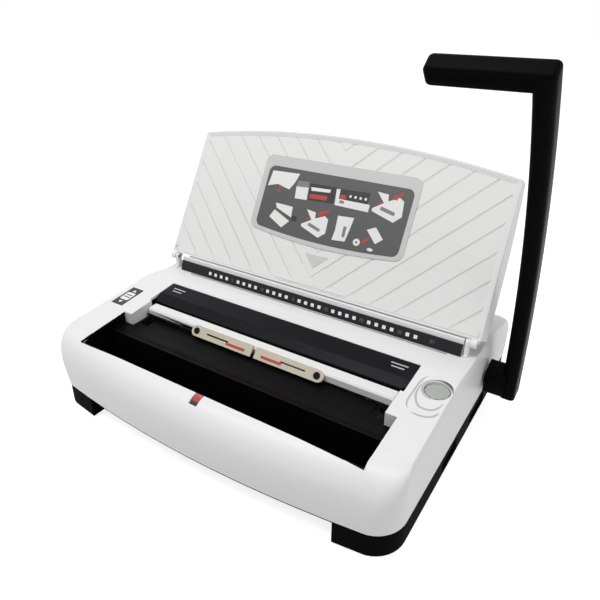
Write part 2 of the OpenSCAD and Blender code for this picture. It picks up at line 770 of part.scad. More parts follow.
module coil_spring(y0, y1) {
  rings = spring_turns * spring_steps;
  rise = (y1 - y0 - 2 * spring_wire_r) / rings;
  points = [for (k = [0 : rings]) let (a = 360 * k / spring_steps, c = y0 + spring_wire_r + rise * k)
    for (j = [0 : spring_sides - 1]) let (b = 360 * j / spring_sides, r = spring_r + spring_wire_r * cos(b))
      [r * cos(a), c + spring_wire_r * sin(b), r * sin(a)]];
  function at(k, j) = k * spring_sides + j % spring_sides;
  faces = concat(
    [for (k = [0 : rings - 1], j = [0 : spring_sides - 1]) each [
      [at(k, j), at(k + 1, j + 1), at(k + 1, j)], [at(k, j), at(k, j + 1), at(k + 1, j + 1)]]],
    [[for (j = [spring_sides - 1 : -1 : 0]) at(0, j)], [for (j = [0 : spring_sides - 1]) at(rings, j)]]);
  polyhedron(points, faces, convexity = 8);
}

module return_springs() {
  color("#c9ccd0") for (x = [-rod_x, rod_x]) translate([x, 0, hole_z])
    coil_spring(guide_rear_y, bar_front_y - slide_gap);
}

module punch_bar() {
  color("#7d8186") difference() {
    span_box([-bar_half_w, bar_front_y, bar_low_z], [bar_half_w, bar_front_y + bar_d, bar_low_z + bar_h]);
    hole_row(bar_front_y - cut, bar_front_y + pin_seat, hole_side);
    both_sides() y_rod(bar_front_y - cut, bar_front_y + bar_d + cut, rod_x, hole_z, bush_r);
  }
}

// Square punches; alternate ones are ground 1 mm shorter so that they cut in turn
module punch_pins() {
  tip_y = guide_front_y + 0.5;
  color("#c4c7cb") for (i = [0 : hole_count - 1])
    span_box([hole_x(i) - hole_side / 2, tip_y + i % 2, hole_z - hole_side / 2],
      [hole_x(i) + hole_side / 2, bar_front_y + pin_seat, hole_z + hole_side / 2]);
}

module punch_racks() {
  color("#74787d") both_sides() side_extrude(punch_gear_x - gear_w / 2, punch_gear_x + gear_w / 2)
    rack_outline(rack_front_y, bar_low_z);
}

// Sliding bushes of the punch bar on its rods
module slide_bushes() {
  color("#b08d4a") both_sides() difference() {
    y_rod(bar_front_y, bar_front_y + bar_d, rod_x, hole_z, bush_r);
    y_rod(bar_front_y - cut, bar_front_y + bar_d + cut, rod_x, hole_z, rod_r + run_clear);
  }
}

// Lever and drive

// Rounded rectangle centred on the origin, as points
function rounded_rect(w, h, r) = [for (q = [0 : 3]) let (cx = (q == 0 || q == 3 ? 1 : -1) * (w / 2 - r),
    cy = (q < 2 ? 1 : -1) * (h / 2 - r)) for (k = [0 : 4]) let (a = 90 * q + 90 * k / 4)
  [cx + r * cos(a), cy + r * sin(a)]];

// Skin through a stack of equal rings, closed by flat ends
module ring_loft(rings) {
  n = len(rings[0]);
  top = len(rings) - 1;
  function at(k, i) = k * n + i % n;
  polyhedron([for (r = rings) each r], concat(
    [for (k = [0 : top - 1], i = [0 : n - 1]) each [
      [at(k, i), at(k + 1, i), at(k + 1, i + 1)], [at(k, i), at(k + 1, i + 1), at(k, i + 1)]]],
    [[for (i = [0 : n - 1]) at(0, i)], [for (i = [n - 1 : -1 : 0]) at(top, i)]]), convexity = 4);
}

hub_x = body_half_w + shell_x + 2;
hub_d = 26;
hub_lean = 12;
hub_back = -2.4;
hub_up = -1;
shaft_end_x = arm_x + 3;
arm_out_x = arm_x + arm_w;
arm_tail = 19;
arm_steps = 16;
screw_r = 3;
screw_head_r = 5.5;
screw_head_h = 2.5;
head_seat = 3;
key_r = 2.6;
curve_y = shaft_y + (arm_offset - arm_curve_r) * cos(arm_lean);
curve_z = shaft_z + (arm_offset - arm_curve_r) * sin(arm_lean);
grip_angle = arm_lean + arm_len / arm_curve_r * 180 / PI;
grip_y = curve_y + arm_curve_r * cos(grip_angle);
grip_z = curve_z + arm_curve_r * sin(grip_angle);

// One ring of the arm, at a length along its curve from the shaft and inset by its end rounding
function arm_ring(along, inset) =
  let (a = arm_lean + along / arm_curve_r * 180 / PI,
       depth = arm_low_d + (arm_top_d - arm_low_d) * min(1, max(0, along / arm_len)))
  [for (p = rounded_rect(arm_w - 2 * inset, depth - 2 * inset, arm_round - inset))
    [arm_x + arm_w / 2 + p[0], curve_y + (arm_curve_r + p[1]) * cos(a),
      curve_z + (arm_curve_r + p[1]) * sin(a)]];

// One ring of the grip
function grip_ring(x, inset) = [for (p = rounded_rect(arm_top_d - 2 * inset, grip_t - 2 * inset,
    arm_round - inset))
  [x, grip_y + p[0] * cos(grip_angle) - p[1] * sin(grip_angle),
    grip_z + p[0] * sin(grip_angle) + p[1] * cos(grip_angle)]];

// Turns of the rounding at the free ends of the arm and the grip
end_turns = [25, 50, 70, 82];

module lever_arm() {
  arm_top = arm_len + grip_t / 2 - arm_round;
  grip_end = arm_out_x - grip_len + arm_round;
  color("#18181a") difference() {
    union() {
      // Curved arm, slimmer towards the grip, with a rounded top
      ring_loft(concat(
        [for (k = [0 : arm_steps]) arm_ring(-arm_tail + (arm_top + arm_tail) * k / arm_steps, 0)],
        [for (a = end_turns) arm_ring(arm_top + arm_round * sin(a), arm_round * (1 - cos(a)))]));
      // Grip across the top, with a rounded free end
      ring_loft(concat(
        [for (k = [3 : -1 : 0]) let (a = end_turns[k])
          grip_ring(grip_end - arm_round * sin(a), arm_round * (1 - cos(a)))],
        [grip_ring(grip_end, 0), grip_ring(arm_out_x - arm_round, 0)]));
      // Hub block that reaches to the body
      side_extrude(hub_x, arm_x + arm_round) translate([shaft_y + hub_back, shaft_z + hub_up])
        rotate(hub_lean) polygon(rounded_rect(hub_d, hub_h, arm_round));
    }
    x_rod(hub_x - cut, shaft_end_x, shaft_y, shaft_z, shaft_r);
    x_rod(shaft_end_x - cut, arm_out_x + cut, shaft_y, shaft_z, screw_r + run_clear);
    x_rod(arm_out_x - head_seat, arm_out_x + cut, shaft_y, shaft_z, screw_head_r + gap);
  }
}

module lever_screw() {
  seat_x = arm_out_x - head_seat;
  color("#55585c") difference() {
    union() {
      x_rod(seat_x, seat_x + screw_head_h, shaft_y, shaft_z, screw_head_r);
      x_rod(shaft_end_x - 8, seat_x, shaft_y, shaft_z, screw_r);
    }
    // Socket for a hexagon key
    translate([seat_x + 1, shaft_y, shaft_z]) rotate([0, 90, 0]) cylinder(h = head_seat, r = key_r, $fn = 6);
  }
}

module drive_shaft() {
  color("#b4b7bb") difference() {
    x_rod(-side_plate_x - side_plate_t - 5, shaft_end_x, shaft_y, shaft_z, shaft_r);
    x_rod(shaft_end_x - 9, shaft_end_x + cut, shaft_y, shaft_z, screw_r);
  }
}

module punch_pinions() {
  color("#86898e") pinion_pair(punch_gear_x);
}

module closer_pinions() {
  color("#86898e") pinion_pair(closer_gear_x);
}

// Collars that keep the shaft from sliding endways
module shaft_collars() {
  x0 = side_plate_x + side_plate_t + gap;
  color("#6f7276") both_sides() difference() {
    x_rod(x0, x0 + 4, shaft_y, shaft_z, shaft_r + 4);
    x_rod(x0 - cut, x0 + 4 + cut, shaft_y, shaft_z, shaft_r);
  }
}

// Wire closer

bar_chamfer = 2;
bar_y0 = closer_bar_y - closer_bar_d;
bar_top_z = closer_bar_z + closer_bar_h;
holder_screw_x = holder_out - 7;
holder_screw_r = 1.7;
holder_slot_w = 1.6;
shank_back = 6;

// Frame of the tilted wire holders: X along the plate, Y up its face, Z out of its face
module on_holder() {
  translate([0, bar_y0 + bar_chamfer, bar_top_z]) rotate([90 - holder_tilt, 0, 0]) children();
}

// Shanks of the screws that hold the plates to the bar
module holder_shanks() {
  on_holder() both_sides() translate([holder_screw_x, -holder_h / 2, -shank_back])
    cylinder(h = shank_back + holder_t, r = holder_screw_r);
}

module closing_bar() {
  color("#d9dadb") difference() {
    side_extrude(-closer_half_w, closer_half_w)
      polygon([[bar_y0, closer_bar_z], [bar_y0, bar_top_z - bar_chamfer * tan(90 - holder_tilt)],
        [bar_y0 + bar_chamfer, bar_top_z], [closer_bar_y, bar_top_z], [closer_bar_y, closer_bar_z]]);
    holder_shanks();
  }
}

// Arms from the closing bar back to the racks, and the finger that meets the stop cam
module closer_arms() {
  front_y = bar_y0 + bar_chamfer;
  color("#74787d") {
    both_sides() side_extrude(closer_gear_x - gear_w / 2, closer_gear_x + gear_w / 2) {
      rack_outline(rack_front_y, closer_top_z);
      polygon([[front_y, rack_root_z], [rack_front_y + cut, rack_root_z], [rack_front_y + cut, closer_top_z],
        [closer_bar_y, closer_top_z], [closer_bar_y, closer_bar_z], [front_y, closer_bar_z]]);
    }
    span_box([closer_gear_x, finger_y, rack_root_z],
      [dial_x + finger_reach, finger_y + finger_w, closer_top_z]);
  }
}

finger_reach = 3;
finger_w = 6;

module holder_plate() {
  translate([0, -holder_h, 0]) linear_extrude(holder_t) difference() {
    union() {
      translate([holder_in, 0]) square([holder_out - holder_in - holder_h / 2, holder_h]);
      translate([holder_out - holder_h / 2, holder_h / 2]) circle(r = holder_h / 2);
    }
    // Long slot
    translate([holder_in + 30, (holder_h - holder_slot_w) / 2])
      square([holder_out - holder_in - 50, holder_slot_w]);
  }
}

module wire_holders() {
  color("#cdc4ae") difference() {
    on_holder() both_sides() holder_plate();
    holder_shanks();
  }
}

module holder_screws() {
  color("#1d1d1f") {
    on_holder() both_sides() translate([holder_screw_x, -holder_h / 2, holder_t])
      cylinder(h = 1.2, r = 2 * holder_screw_r);
    holder_shanks();
  }
}

rod_thin_r = 1.3;

// Thin rod along the front of the bar, from the left-hand holder towards the arm
module holder_rod() {
  color("#121214") x_rod(-closer_half_w + gap, -holder_out + 2, bar_y0 - rod_thin_r,
    closer_bar_z + rod_thin_r + gap, rod_thin_r);
}

// Wire size dial

spindle_seat = 8;
flute_count = 10;
flute_r = 2.2;
flute_depth = 0.8;
cam_shift = 3;

module dial_knob() {
  color("#c9cbcd") translate([dial_x, dial_y, dial_z]) difference() {
    cylinder(h = dial_h, r = dial_r);
    // Finger flutes round the rim
    for (i = [0 : flute_count - 1]) rotate([0, 0, 360 * i / flute_count])
      translate([dial_r + flute_r - flute_depth, 0, dial_h / 4]) cylinder(h = dial_h, r = flute_r);
    translate([0, 0, -cut]) cylinder(h = spindle_seat + cut, r = spindle_r);
  }
}

module dial_spindle() {
  color("#9fa2a6") translate([dial_x, dial_y, cam_z - 1])
    cylinder(h = dial_z + spindle_seat - cam_z + 1, r = spindle_r);
}

// Eccentric cam under the dial, with the hub that keeps the spindle from lifting out
module stop_cam() {
  color("#2a2a2c") translate([dial_x, dial_y, cam_z]) difference() {
    union() {
      translate([cam_shift, 0, 0]) cylinder(h = cam_h, r = cam_r - cam_shift);
      cylinder(h = dial_z - well_floor - gap - cam_z, r = spindle_r + 2);
    }
    translate([0, 0, -cut]) cylinder(h = 20, r = spindle_r);
  }
}

// Folding cover

label_half_w = 95.5;
label_low_s = 57;
label_high_s = 144;
label_bulge = 6;
label_corner_r = 9;
label_t = 0.8;
panel_inset = cover_wall + 0.15;
groove_w = 1.8;
groove_depth = 0.5;
groove_reach = 210;

// Frame of the open cover: X along the hinge, Y into its depth, Z up its face
module on_cover() {
  translate([0, hinge_y, hinge_z]) rotate([-cover_lean, 0, 0]) children();
}

// Outline in the cover's face, drawn as [x, up the face], extruded between two depths
module face_extrude(d0, d1) {
  translate([0, d1, 0]) rotate([90, 0, 0]) linear_extrude(d1 - d0) children();
}

// Half width of the cover at a length up its face
function cover_half_at(s) = cover_half_w
  - (cover_half_w - cover_tip_half_w) * (s - cover_base_s) / (cover_side_len - cover_base_s);

module cover_outline(inset) {
  low = cover_base_s + inset;
  high = cover_mid_len + 1;
  intersection() {
    polygon([[-cover_half_at(low) + inset, low], [cover_half_at(low) - inset, low],
      [cover_half_at(high) - inset, high], [-cover_half_at(high) + inset, high]]);
    translate([0, cover_mid_len - arch_r]) circle(r = arch_r - inset, $fn = 180);
  }
}

// Side view of the cover, with its crowned back
module cover_side(inset, front) {
  chord_d = cover_tip_d - cover_base_d;
  chord_s = cover_mid_len - cover_base_s;
  chord = sqrt(chord_d * chord_d + chord_s * chord_s);
  back_r = (chord * chord / 4 + cover_crown * cover_crown) / (2 * cover_crown);
  intersection() {
    translate([(cover_base_d + cover_tip_d) / 2 - (back_r - cover_crown) * chord_s / chord,
        (cover_base_s + cover_mid_len) / 2 + (back_r - cover_crown) * chord_d / chord])
      circle(r = back_r - inset, $fn = 180);
    translate([front, cover_base_s + inset]) square([80, cover_mid_len]);
  }
}

module cover_form(inset, front) {
  intersection() {
    face_extrude(front, 80) cover_outline(inset);
    side_extrude(-body_half_w - 20, body_half_w + 20) cover_side(inset, front);
  }
}

knuckle_x = bracket_x + bracket_w + gap;
knuckle_d = 10;

module cover_shell() {
  color("#e6e7e6") on_cover() translate([shell_x, 0, 0]) difference() {
    union() {
      difference() {
        cover_form(0, cover_face - cover_rim);
        cover_form(cover_wall, -5);
      }
      // Hinge knuckles with the webs that join them to the shell
      both_sides() {
        x_rod(knuckle_x, knuckle_x + knuckle_w, 0, 0, knuckle_r);
        span_box([knuckle_x, 0, 0], [knuckle_x + knuckle_w, knuckle_d, cover_base_s + cover_wall]);
      }
    }
    both_sides() x_rod(knuckle_x - cut, knuckle_x + knuckle_w + cut, 0, 0, hinge_pin_r + run_clear);
  }
}

// Face panel with chevron grooves that point down
module cover_panel() {
  step = groove_step * sqrt(2);
  tall = groove_w * sqrt(2);
  color("#d9dbdb") on_cover() {
    difference() {
      face_extrude(cover_face, cover_face + cover_panel_t) translate([shell_x, 0]) cover_outline(panel_inset);
      face_extrude(cover_face - cut, cover_face + groove_depth)
        for (k = [-7 : 5]) let (low = cover_base_s + 12 + k * step)
          polygon([[0, low], [groove_reach, low + groove_reach],
            [groove_reach, low + groove_reach + tall], [0, low + tall],
            [-groove_reach, low + groove_reach + tall], [-groove_reach, low + groove_reach]]);
    }
    // Moulded arrow and paper rib below the label
    face_extrude(cover_face - 0.6, cover_face + 1) polygon([[-15, 43.5], [15, 43.5], [0, 28.5]]);
    face_extrude(cover_face - 0.8, cover_face + 1) translate([-44, 8.7]) square([88, 2]);
  }
}

// Outline of the label: rounded corners, and a lower edge that bows down
function label_points() =
  let (r = label_corner_r, flat_half = label_half_w - r)
  concat(
    [for (k = [-8 : 8]) [flat_half * k / 8, label_low_s - label_bulge * (1 - k * k / 64)]],
    [for (k = [1 : 6]) [flat_half + r * sin(15 * k), label_low_s + r - r * cos(15 * k)]],
    [for (k = [0 : 6]) [flat_half + r * cos(15 * k), label_high_s - r + r * sin(15 * k)]],
    [for (k = [0 : 6]) [-flat_half - r * sin(15 * k), label_high_s - r + r * cos(15 * k)]],
    [for (k = [0 : 5]) [-flat_half - r * cos(15 * k), label_low_s + r - r * sin(15 * k)]]);

module label_plate() {
  color("#b9bbbd") on_cover() face_extrude(cover_face - label_t, cover_face) polygon(label_points());
}

bracket_r = 3.4;
bracket_foot = 6;

module hinge_brackets() {
  color("#c7c9ca") translate([shell_x, 0, 0]) both_sides() difference() {
    union() {
      x_rod(bracket_x, bracket_x + bracket_w, hinge_y, hinge_z, bracket_r);
      span_box([bracket_x, hinge_y - bracket_r, deck_z],
        [bracket_x + bracket_w, hinge_y + bracket_r, hinge_z]);
      span_box([bracket_x, hinge_y - bracket_foot, deck_z],
        [bracket_x + bracket_w, hinge_y + bracket_foot, deck_z + 1.5]);
    }
    x_rod(bracket_x - cut, bracket_x + bracket_w + cut, hinge_y, hinge_z, hinge_pin_r);
  }
}

module hinge_pins() {
  color("#a5a8ac") translate([shell_x, 0, 0]) both_sides()
    x_rod(bracket_x, knuckle_x + knuckle_w - gap, hinge_y, hinge_z, hinge_pin_r);
}

// Chip drawer

drawer_face_t = 11;
drawer_side_x = shell_x - body_half_w;
drawer_body_x = drawer_side_x + drawer_face_t;
drawer_notch_w = 40;

module chip_drawer() {
  t = drawer_wall;
  mid_y = (drawer_front_y + drawer_rear_y) / 2;
  color("#e2e3e2") difference() {
    union() {
      span_box([drawer_body_x - cut, drawer_front_y, drawer_z],
        [drawer_far_x, drawer_rear_y, drawer_z + drawer_h]);
      // Face that follows the side of the housing
      intersection() {
        shell_loft(housing_rings(0, joint_z, 0));
        span_box([drawer_side_x - cut, drawer_front_y - cut, drawer_z - cut],
          [drawer_body_x, drawer_rear_y + cut, drawer_z + drawer_h + cut]);
      }
    }
    // Inside
    span_box([drawer_body_x + t, drawer_front_y + t, drawer_z + t],
      [drawer_far_x - t, drawer_rear_y - t, drawer_z + drawer_h + cut]);
    // Finger pull in the face
    span_box([drawer_side_x - cut, mid_y - drawer_notch_w / 2, drawer_z + drawer_h - 12],
      [drawer_side_x + 5, mid_y + drawer_notch_w / 2, drawer_z + drawer_h - 4]);
  }
}

// The whole machine, moved so that the origin lies under the middle of its overall outline
frame_x = (arm_out_x + shell_x - body_half_w) / 2;

translate([-frame_x, 0, 0]) {
  base_tray();
  foot_pads();
  top_housing();
  housing_screws();
  bay_liner();
  beam_cover();
  scale_strip();
  die_plate();
  guide_plate();
  paper_stop();
  edge_stop();
  side_plate_left();
  side_plate_right();
  shaft_bushes();
  guide_rods();
  return_springs();
  hinge_brackets();
  hinge_pins();
  lid_catch();
  lever_arm();
  lever_screw();
  drive_shaft();
  punch_pinions();
  closer_pinions();
  shaft_collars();
  punch_bar();
  punch_pins();
  punch_racks();
  slide_bushes();
  rod_clips();
  closing_bar();
  closer_arms();
  wire_holders();
  holder_screws();
  holder_rod();
  dial_knob();
  dial_spindle();
  stop_cam();
  cover_shell();
  cover_panel();
  label_plate();
  chip_drawer();
}
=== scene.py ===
"""Looks of a desk wire binding machine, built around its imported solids.

Sizes and places on the machine are in millimetres, those of the stage in metres, and angles in degrees.
"""
import json
import math

import bmesh
import bpy
from mathutils import Matrix, Vector


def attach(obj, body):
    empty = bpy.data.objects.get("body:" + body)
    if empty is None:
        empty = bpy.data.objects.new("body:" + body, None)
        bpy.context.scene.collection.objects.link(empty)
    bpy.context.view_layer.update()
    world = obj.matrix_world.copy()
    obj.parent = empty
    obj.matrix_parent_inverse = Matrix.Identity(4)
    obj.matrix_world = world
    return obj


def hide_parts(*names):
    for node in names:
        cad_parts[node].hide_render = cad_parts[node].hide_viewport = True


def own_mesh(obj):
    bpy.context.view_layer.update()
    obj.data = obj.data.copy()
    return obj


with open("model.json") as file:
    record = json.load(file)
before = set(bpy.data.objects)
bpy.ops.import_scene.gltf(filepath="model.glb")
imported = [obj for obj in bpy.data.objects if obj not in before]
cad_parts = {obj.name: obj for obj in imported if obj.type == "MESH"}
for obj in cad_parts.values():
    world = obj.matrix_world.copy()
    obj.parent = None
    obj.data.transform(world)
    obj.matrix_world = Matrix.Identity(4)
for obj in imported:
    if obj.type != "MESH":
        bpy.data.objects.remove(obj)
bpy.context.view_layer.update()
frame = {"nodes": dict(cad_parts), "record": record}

MM = 0.001
# X of the bay's middle, and of the middle of the housing and the cover, a little to the left of it
BAY_X = -13.25
SHELL_SHIFT = -3
SHELL_X = BAY_X + SHELL_SHIFT
# Place and height of a point on the deck, and the deck's rise for each millimetre towards the back
DECK_Y = -20
DECK_Z = 95
DECK_SLOPE = 0.1035
record = frame["record"]
node_body = {node: body for body, nodes in record["behaviour"]["bodies"].items() for node in nodes}
node_slot = {subpart["node"]: subpart["material_slot"] for subpart in record["subparts"]}


# Materials

# Scale and detail of the slow change in colour, and detail of the fine grain
SLOW_SCALE = 14.0
SLOW_DETAIL = 3.0
FINE_DETAIL = 2.0
# Part of the noise that is used, how far grain changes the roughness, and the depth of a full bump
NOISE_LOW = 0.3
NOISE_HIGH = 0.7
ROUGH_CHANGE = 0.06
BUMP_DEPTH = 0.2
# Stretch of grain that runs along one axis
ALONG_X = (0.03, 1, 1)
ALONG_Y = (1, 0.03, 1)


def node_tree(name):
    """New material, with its nodes, its links and its plain Principled shader."""
    mat = bpy.data.materials.new(name)
    mat.use_nodes = True
    return mat, mat.node_tree.nodes, mat.node_tree.links, mat.node_tree.nodes["Principled BSDF"]


def scaled_coords(nodes, links, stretch):
    """Object coordinates, stretched so that grain can run along one axis."""
    coords = nodes.new("ShaderNodeTexCoord")
    mapping = nodes.new("ShaderNodeMapping")
    mapping.inputs["Scale"].default_value = stretch
    links.new(coords.outputs["Object"], mapping.inputs["Vector"])
    return mapping.outputs["Vector"]


def noise(nodes, links, vector, scale, detail):
    """Noise factor at the given coordinates."""
    texture = nodes.new("ShaderNodeTexNoise")
    texture.inputs["Scale"].default_value = scale
    texture.inputs["Detail"].default_value = detail
    links.new(vector, texture.inputs["Vector"])
    return texture.outputs["Fac"]


def spread(nodes, links, factor, low, high):
    """Maps a noise factor onto a range of values."""
    ramp = nodes.new("ShaderNodeMapRange")
    ramp.inputs["From Min"].default_value = NOISE_LOW
    ramp.inputs["From Max"].default_value = NOISE_HIGH
    ramp.inputs["To Min"].default_value = low
    ramp.inputs["To Max"].default_value = high
    links.new(factor, ramp.inputs["Value"])
    return ramp.outputs["Result"]


def surface(name, colour, rough, metallic=0.0, grain=1600.0, bump=0.1, shade=0.05, stretch=(1, 1, 1),
            coat=0.0, gloss=0.5):
    """Moulded, painted or ground surface: slow change in colour, grain in the roughness and the normal."""
    mat, nodes, links, shader = node_tree(name)
    vector = scaled_coords(nodes, links, stretch)
    slow = noise(nodes, links, vector, SLOW_SCALE, SLOW_DETAIL)
    fine = noise(nodes, links, vector, grain, FINE_DETAIL)
    mix = nodes.new("ShaderNodeMix")
    mix.data_type = "RGBA"
    mix.inputs["A"].default_value = [c * (1 - shade) for c in colour] + [1]
    mix.inputs["B"].default_value = [min(1, c * (1 + shade)) for c in colour] + [1]
    links.new(slow, mix.inputs["Factor"])
    links.new(mix.outputs["Result"], shader.inputs["Base Color"])
    roughness = spread(nodes, links, fine, rough - ROUGH_CHANGE, rough + ROUGH_CHANGE)
    links.new(roughness, shader.inputs["Roughness"])
    shader.inputs["Metallic"].default_value = metallic
    shader.inputs["Coat Weight"].default_value = coat
    shader.inputs["Specular IOR Level"].default_value = gloss
    bumper = nodes.new("ShaderNodeBump")
    bumper.inputs["Strength"].default_value = bump
    bumper.inputs["Distance"].default_value = BUMP_DEPTH * MM
    links.new(fine, bumper.inputs["Height"])
    links.new(bumper.outputs["Normal"], shader.inputs["Normal"])
    return mat


def ink(name, colour, shade, rough=0.5):
    """Print on a moulding, finer in grain than the moulding; also used for painted shade in the grooves and
    round the dial.
    """
    return surface(name, colour, rough, grain=3000, bump=0.04, shade=shade)


MATERIALS = {
    "white_body": surface("white_moulding", (0.80, 0.805, 0.80), 0.42, bump=0.05, shade=0.015,
                          coat=0.03, gloss=0.3),
    "cover_grey": surface("pale_moulding", (0.80, 0.803, 0.793), 0.5, bump=0.12, shade=0.02, gloss=0.3),
    "black_plastic": surface("black_moulding", (0.0026, 0.0027, 0.0028), 0.38, grain=1300, bump=0.12,
                             shade=0.15, gloss=0.05),
    "black_sheet": surface("black_sheet_paint", (0.0036, 0.0040, 0.0050), 0.3, grain=2200, bump=0.1,
                           shade=0.12, gloss=0.09),
    "lever_black": surface("lever_paint", (0.0020, 0.0020, 0.0022), 0.4, grain=1500, bump=0.18,
                           shade=0.12, gloss=0.02),
    "scale_black": surface("scale_film", (0.007, 0.007, 0.010), 0.35, grain=2500, bump=0.05, shade=0.1,
                           gloss=0.25),
    "rubber": surface("foot_rubber", (0.018, 0.018, 0.018), 0.8, grain=900, bump=0.3, shade=0.15),
    "steel": surface("ground_steel", (0.52, 0.53, 0.54), 0.3, metallic=1.0, grain=900, bump=0.08,
                     shade=0.06, stretch=ALONG_X),
    "dark_steel": surface("black_steel", (0.16, 0.165, 0.17), 0.4, metallic=1.0, grain=1200, bump=0.1,
                          shade=0.1, stretch=ALONG_X),
    "alloy": surface("white_enamel", (0.80, 0.80, 0.79), 0.3, grain=1400, bump=0.05, shade=0.02,
                     stretch=ALONG_X),
    "bronze": surface("bearing_bronze", (0.55, 0.38, 0.16), 0.35, metallic=1.0, grain=1200, bump=0.08,
                      shade=0.08, stretch=ALONG_Y),
    "beige": surface("cream_paint", (0.56, 0.51, 0.40), 0.45, grain=1800, bump=0.1, shade=0.06),
    "red_plastic": surface("red_moulding", (0.36, 0.012, 0.016), 0.3, bump=0.08, shade=0.08, coat=0.2),
    "label_grey": surface("label_frame_film", (0.58, 0.585, 0.575), 0.4, grain=2400, bump=0.05, shade=0.03),
    "dial_grey": surface("dial_moulding", (0.40, 0.41, 0.40), 0.38, bump=0.1, shade=0.03),
}
# Matt black of the base, which stands on the pale floor
BASE_BLACK = surface("base_moulding", (0.0032, 0.0033, 0.0035), 0.65, grain=1100, bump=0.25, shade=0.12,
                     gloss=0.01)
PRINT_WHITE = ink("white_ink", (0.80, 0.80, 0.79), 0.04)
PRINT_DIM = ink("grey_ink", (0.12, 0.12, 0.15), 0.05)
PRINT_RED = ink("red_ink", (0.42, 0.045, 0.035), 0.1)
PRINT_LINE = ink("bar_ink", (0.42, 0.43, 0.42), 0.05)
# Grey painted as shade along the steps of the recess round the dial
STEP_SHADE_PAINT = ink("painted_shade_of_steps", (0.46, 0.47, 0.45), 0.05)
# Grey painted as shade on the floors of the chevron grooves
GROOVE_SHADE_PAINT = ink("groove_shade", (0.68, 0.685, 0.67), 0.03, rough=0.6)
PRINT_PALE = ink("pale_ink", (0.60, 0.605, 0.59), 0.03)
PRINT_MID = ink("mid_grey_ink", (0.20, 0.20, 0.215), 0.06)
# Dark grey print of the label's field, which also paints the shade on the rear rim of the dial's well
DARK_PRINT_AND_SHADE = surface("dark_label_ink_and_rim_shade", (0.075, 0.078, 0.075), 0.42, grain=2600, bump=0.05, shade=0.06)
PRINT_BLACK = surface("black_film", (0.012, 0.012, 0.013), 0.4, grain=2600, bump=0.06, shade=0.1)


# Front corners of the housing

# Share of the housing's height, inset of its sides and of its front, and the corner radius to show there
SKIN_LEVELS = [
    (0, 0.6, 0.8, 30), (0.09, 0.4, 0.5, 29), (0.2, 0.2, 0.2, 27.6), (0.34, 0, 0, 25.8),
    (0.5, 0, 0.3, 23.4), (0.64, 0, 1.4, 21), (0.74, 0.2, 3.2, 19.2), (0.82, 0.4, 5.6, 17.4),
    (0.88, 0.7, 8.1, 15.9), (0.93, 1.2, 11, 14.4), (0.97, 1.9, 14.6, 12.6), (1, 3, 19.5, 10.8),
]
SKIN_HALF_W = 197
SKIN_FRONT = 172
SKIN_LOW = 26
BOW_R = 1250
CORNER_R = 30
# Depth of the wall that moves with its outer face, the slack outside that face, and the slack in radians
# where the corner meets the front and the side
WALL_DEPTH = 4
WALL_SLACK = 1
FRONT_SLACK = 0.01
SIDE_SLACK = 0.001


def deck_height(y):
    """Height of the deck's top face."""
    return DECK_Z + DECK_SLOPE * (y - DECK_Y)


def skin_level(share):
    """Side inset, front inset and corner radius to show, at a share of the housing's height."""
    above = next(k for k, level in enumerate(SKIN_LEVELS) if level[0] >= share)
    low = SKIN_LEVELS[max(above - 1, 0)]
    high = SKIN_LEVELS[above]
    part = (share - low[0]) / (high[0] - low[0]) if high[0] > low[0] else 0.0
    return [a + (b - a) * part for a, b in zip(low[1:], high[1:])]


def corner_centre(half_w, front, radius):
    """Middle of a corner between the side and the bowed front, and the angle where it meets the front."""
    sweep = math.asin((half_w - radius) / (BOW_R - radius))
    return half_w - radius, BOW_R - front - (BOW_R - radius) * math.cos(sweep), sweep - math.pi / 2


def tighten_corners(shape):
    """Moves the skin at the front corners out to a radius that grows smaller towards the top."""
    for vert in shape.verts:
        x, y, z = vert.co / MM
        x -= SHELL_X
        share = (z - SKIN_LOW) / (deck_height(y) - SKIN_LOW)
        side, end, shown = skin_level(min(1.0, max(0.0, share)))
        half_w = SKIN_HALF_W - side
        front = SKIN_FRONT - end
        solid = CORNER_R - (side + end) / 2
        mid_x, mid_y, meet = corner_centre(half_w, front, solid)
        radius = math.hypot(abs(x) - mid_x, y - mid_y)
        angle = math.atan2(y - mid_y, abs(x) - mid_x)
        on_corner = meet - FRONT_SLACK <= angle <= SIDE_SLACK
        in_wall = solid - WALL_DEPTH <= radius <= solid + WALL_SLACK
        if not on_corner or not in_wall or shown >= solid:
            continue
        mid_x, mid_y, new_meet = corner_centre(half_w, front, shown)
        angle *= new_meet / meet
        radius += shown - solid
        x = math.copysign(mid_x + radius * math.cos(angle), x)
        vert.co = Vector((x + SHELL_X, mid_y + radius * math.sin(angle), z)) * MM


# Pieces made from the solids

# Distance at which points are welded, and the angle under which faces count as one
WELD = 0.002
FLAT_ANGLE = 0.4
BEVEL_STEPS = 2
# Nodes with a material of their own in place of their slot's, and nodes that are reshaped
OWN_MATERIALS = {"base_tray": BASE_BLACK}
RESHAPED = {"top_housing": tighten_corners}


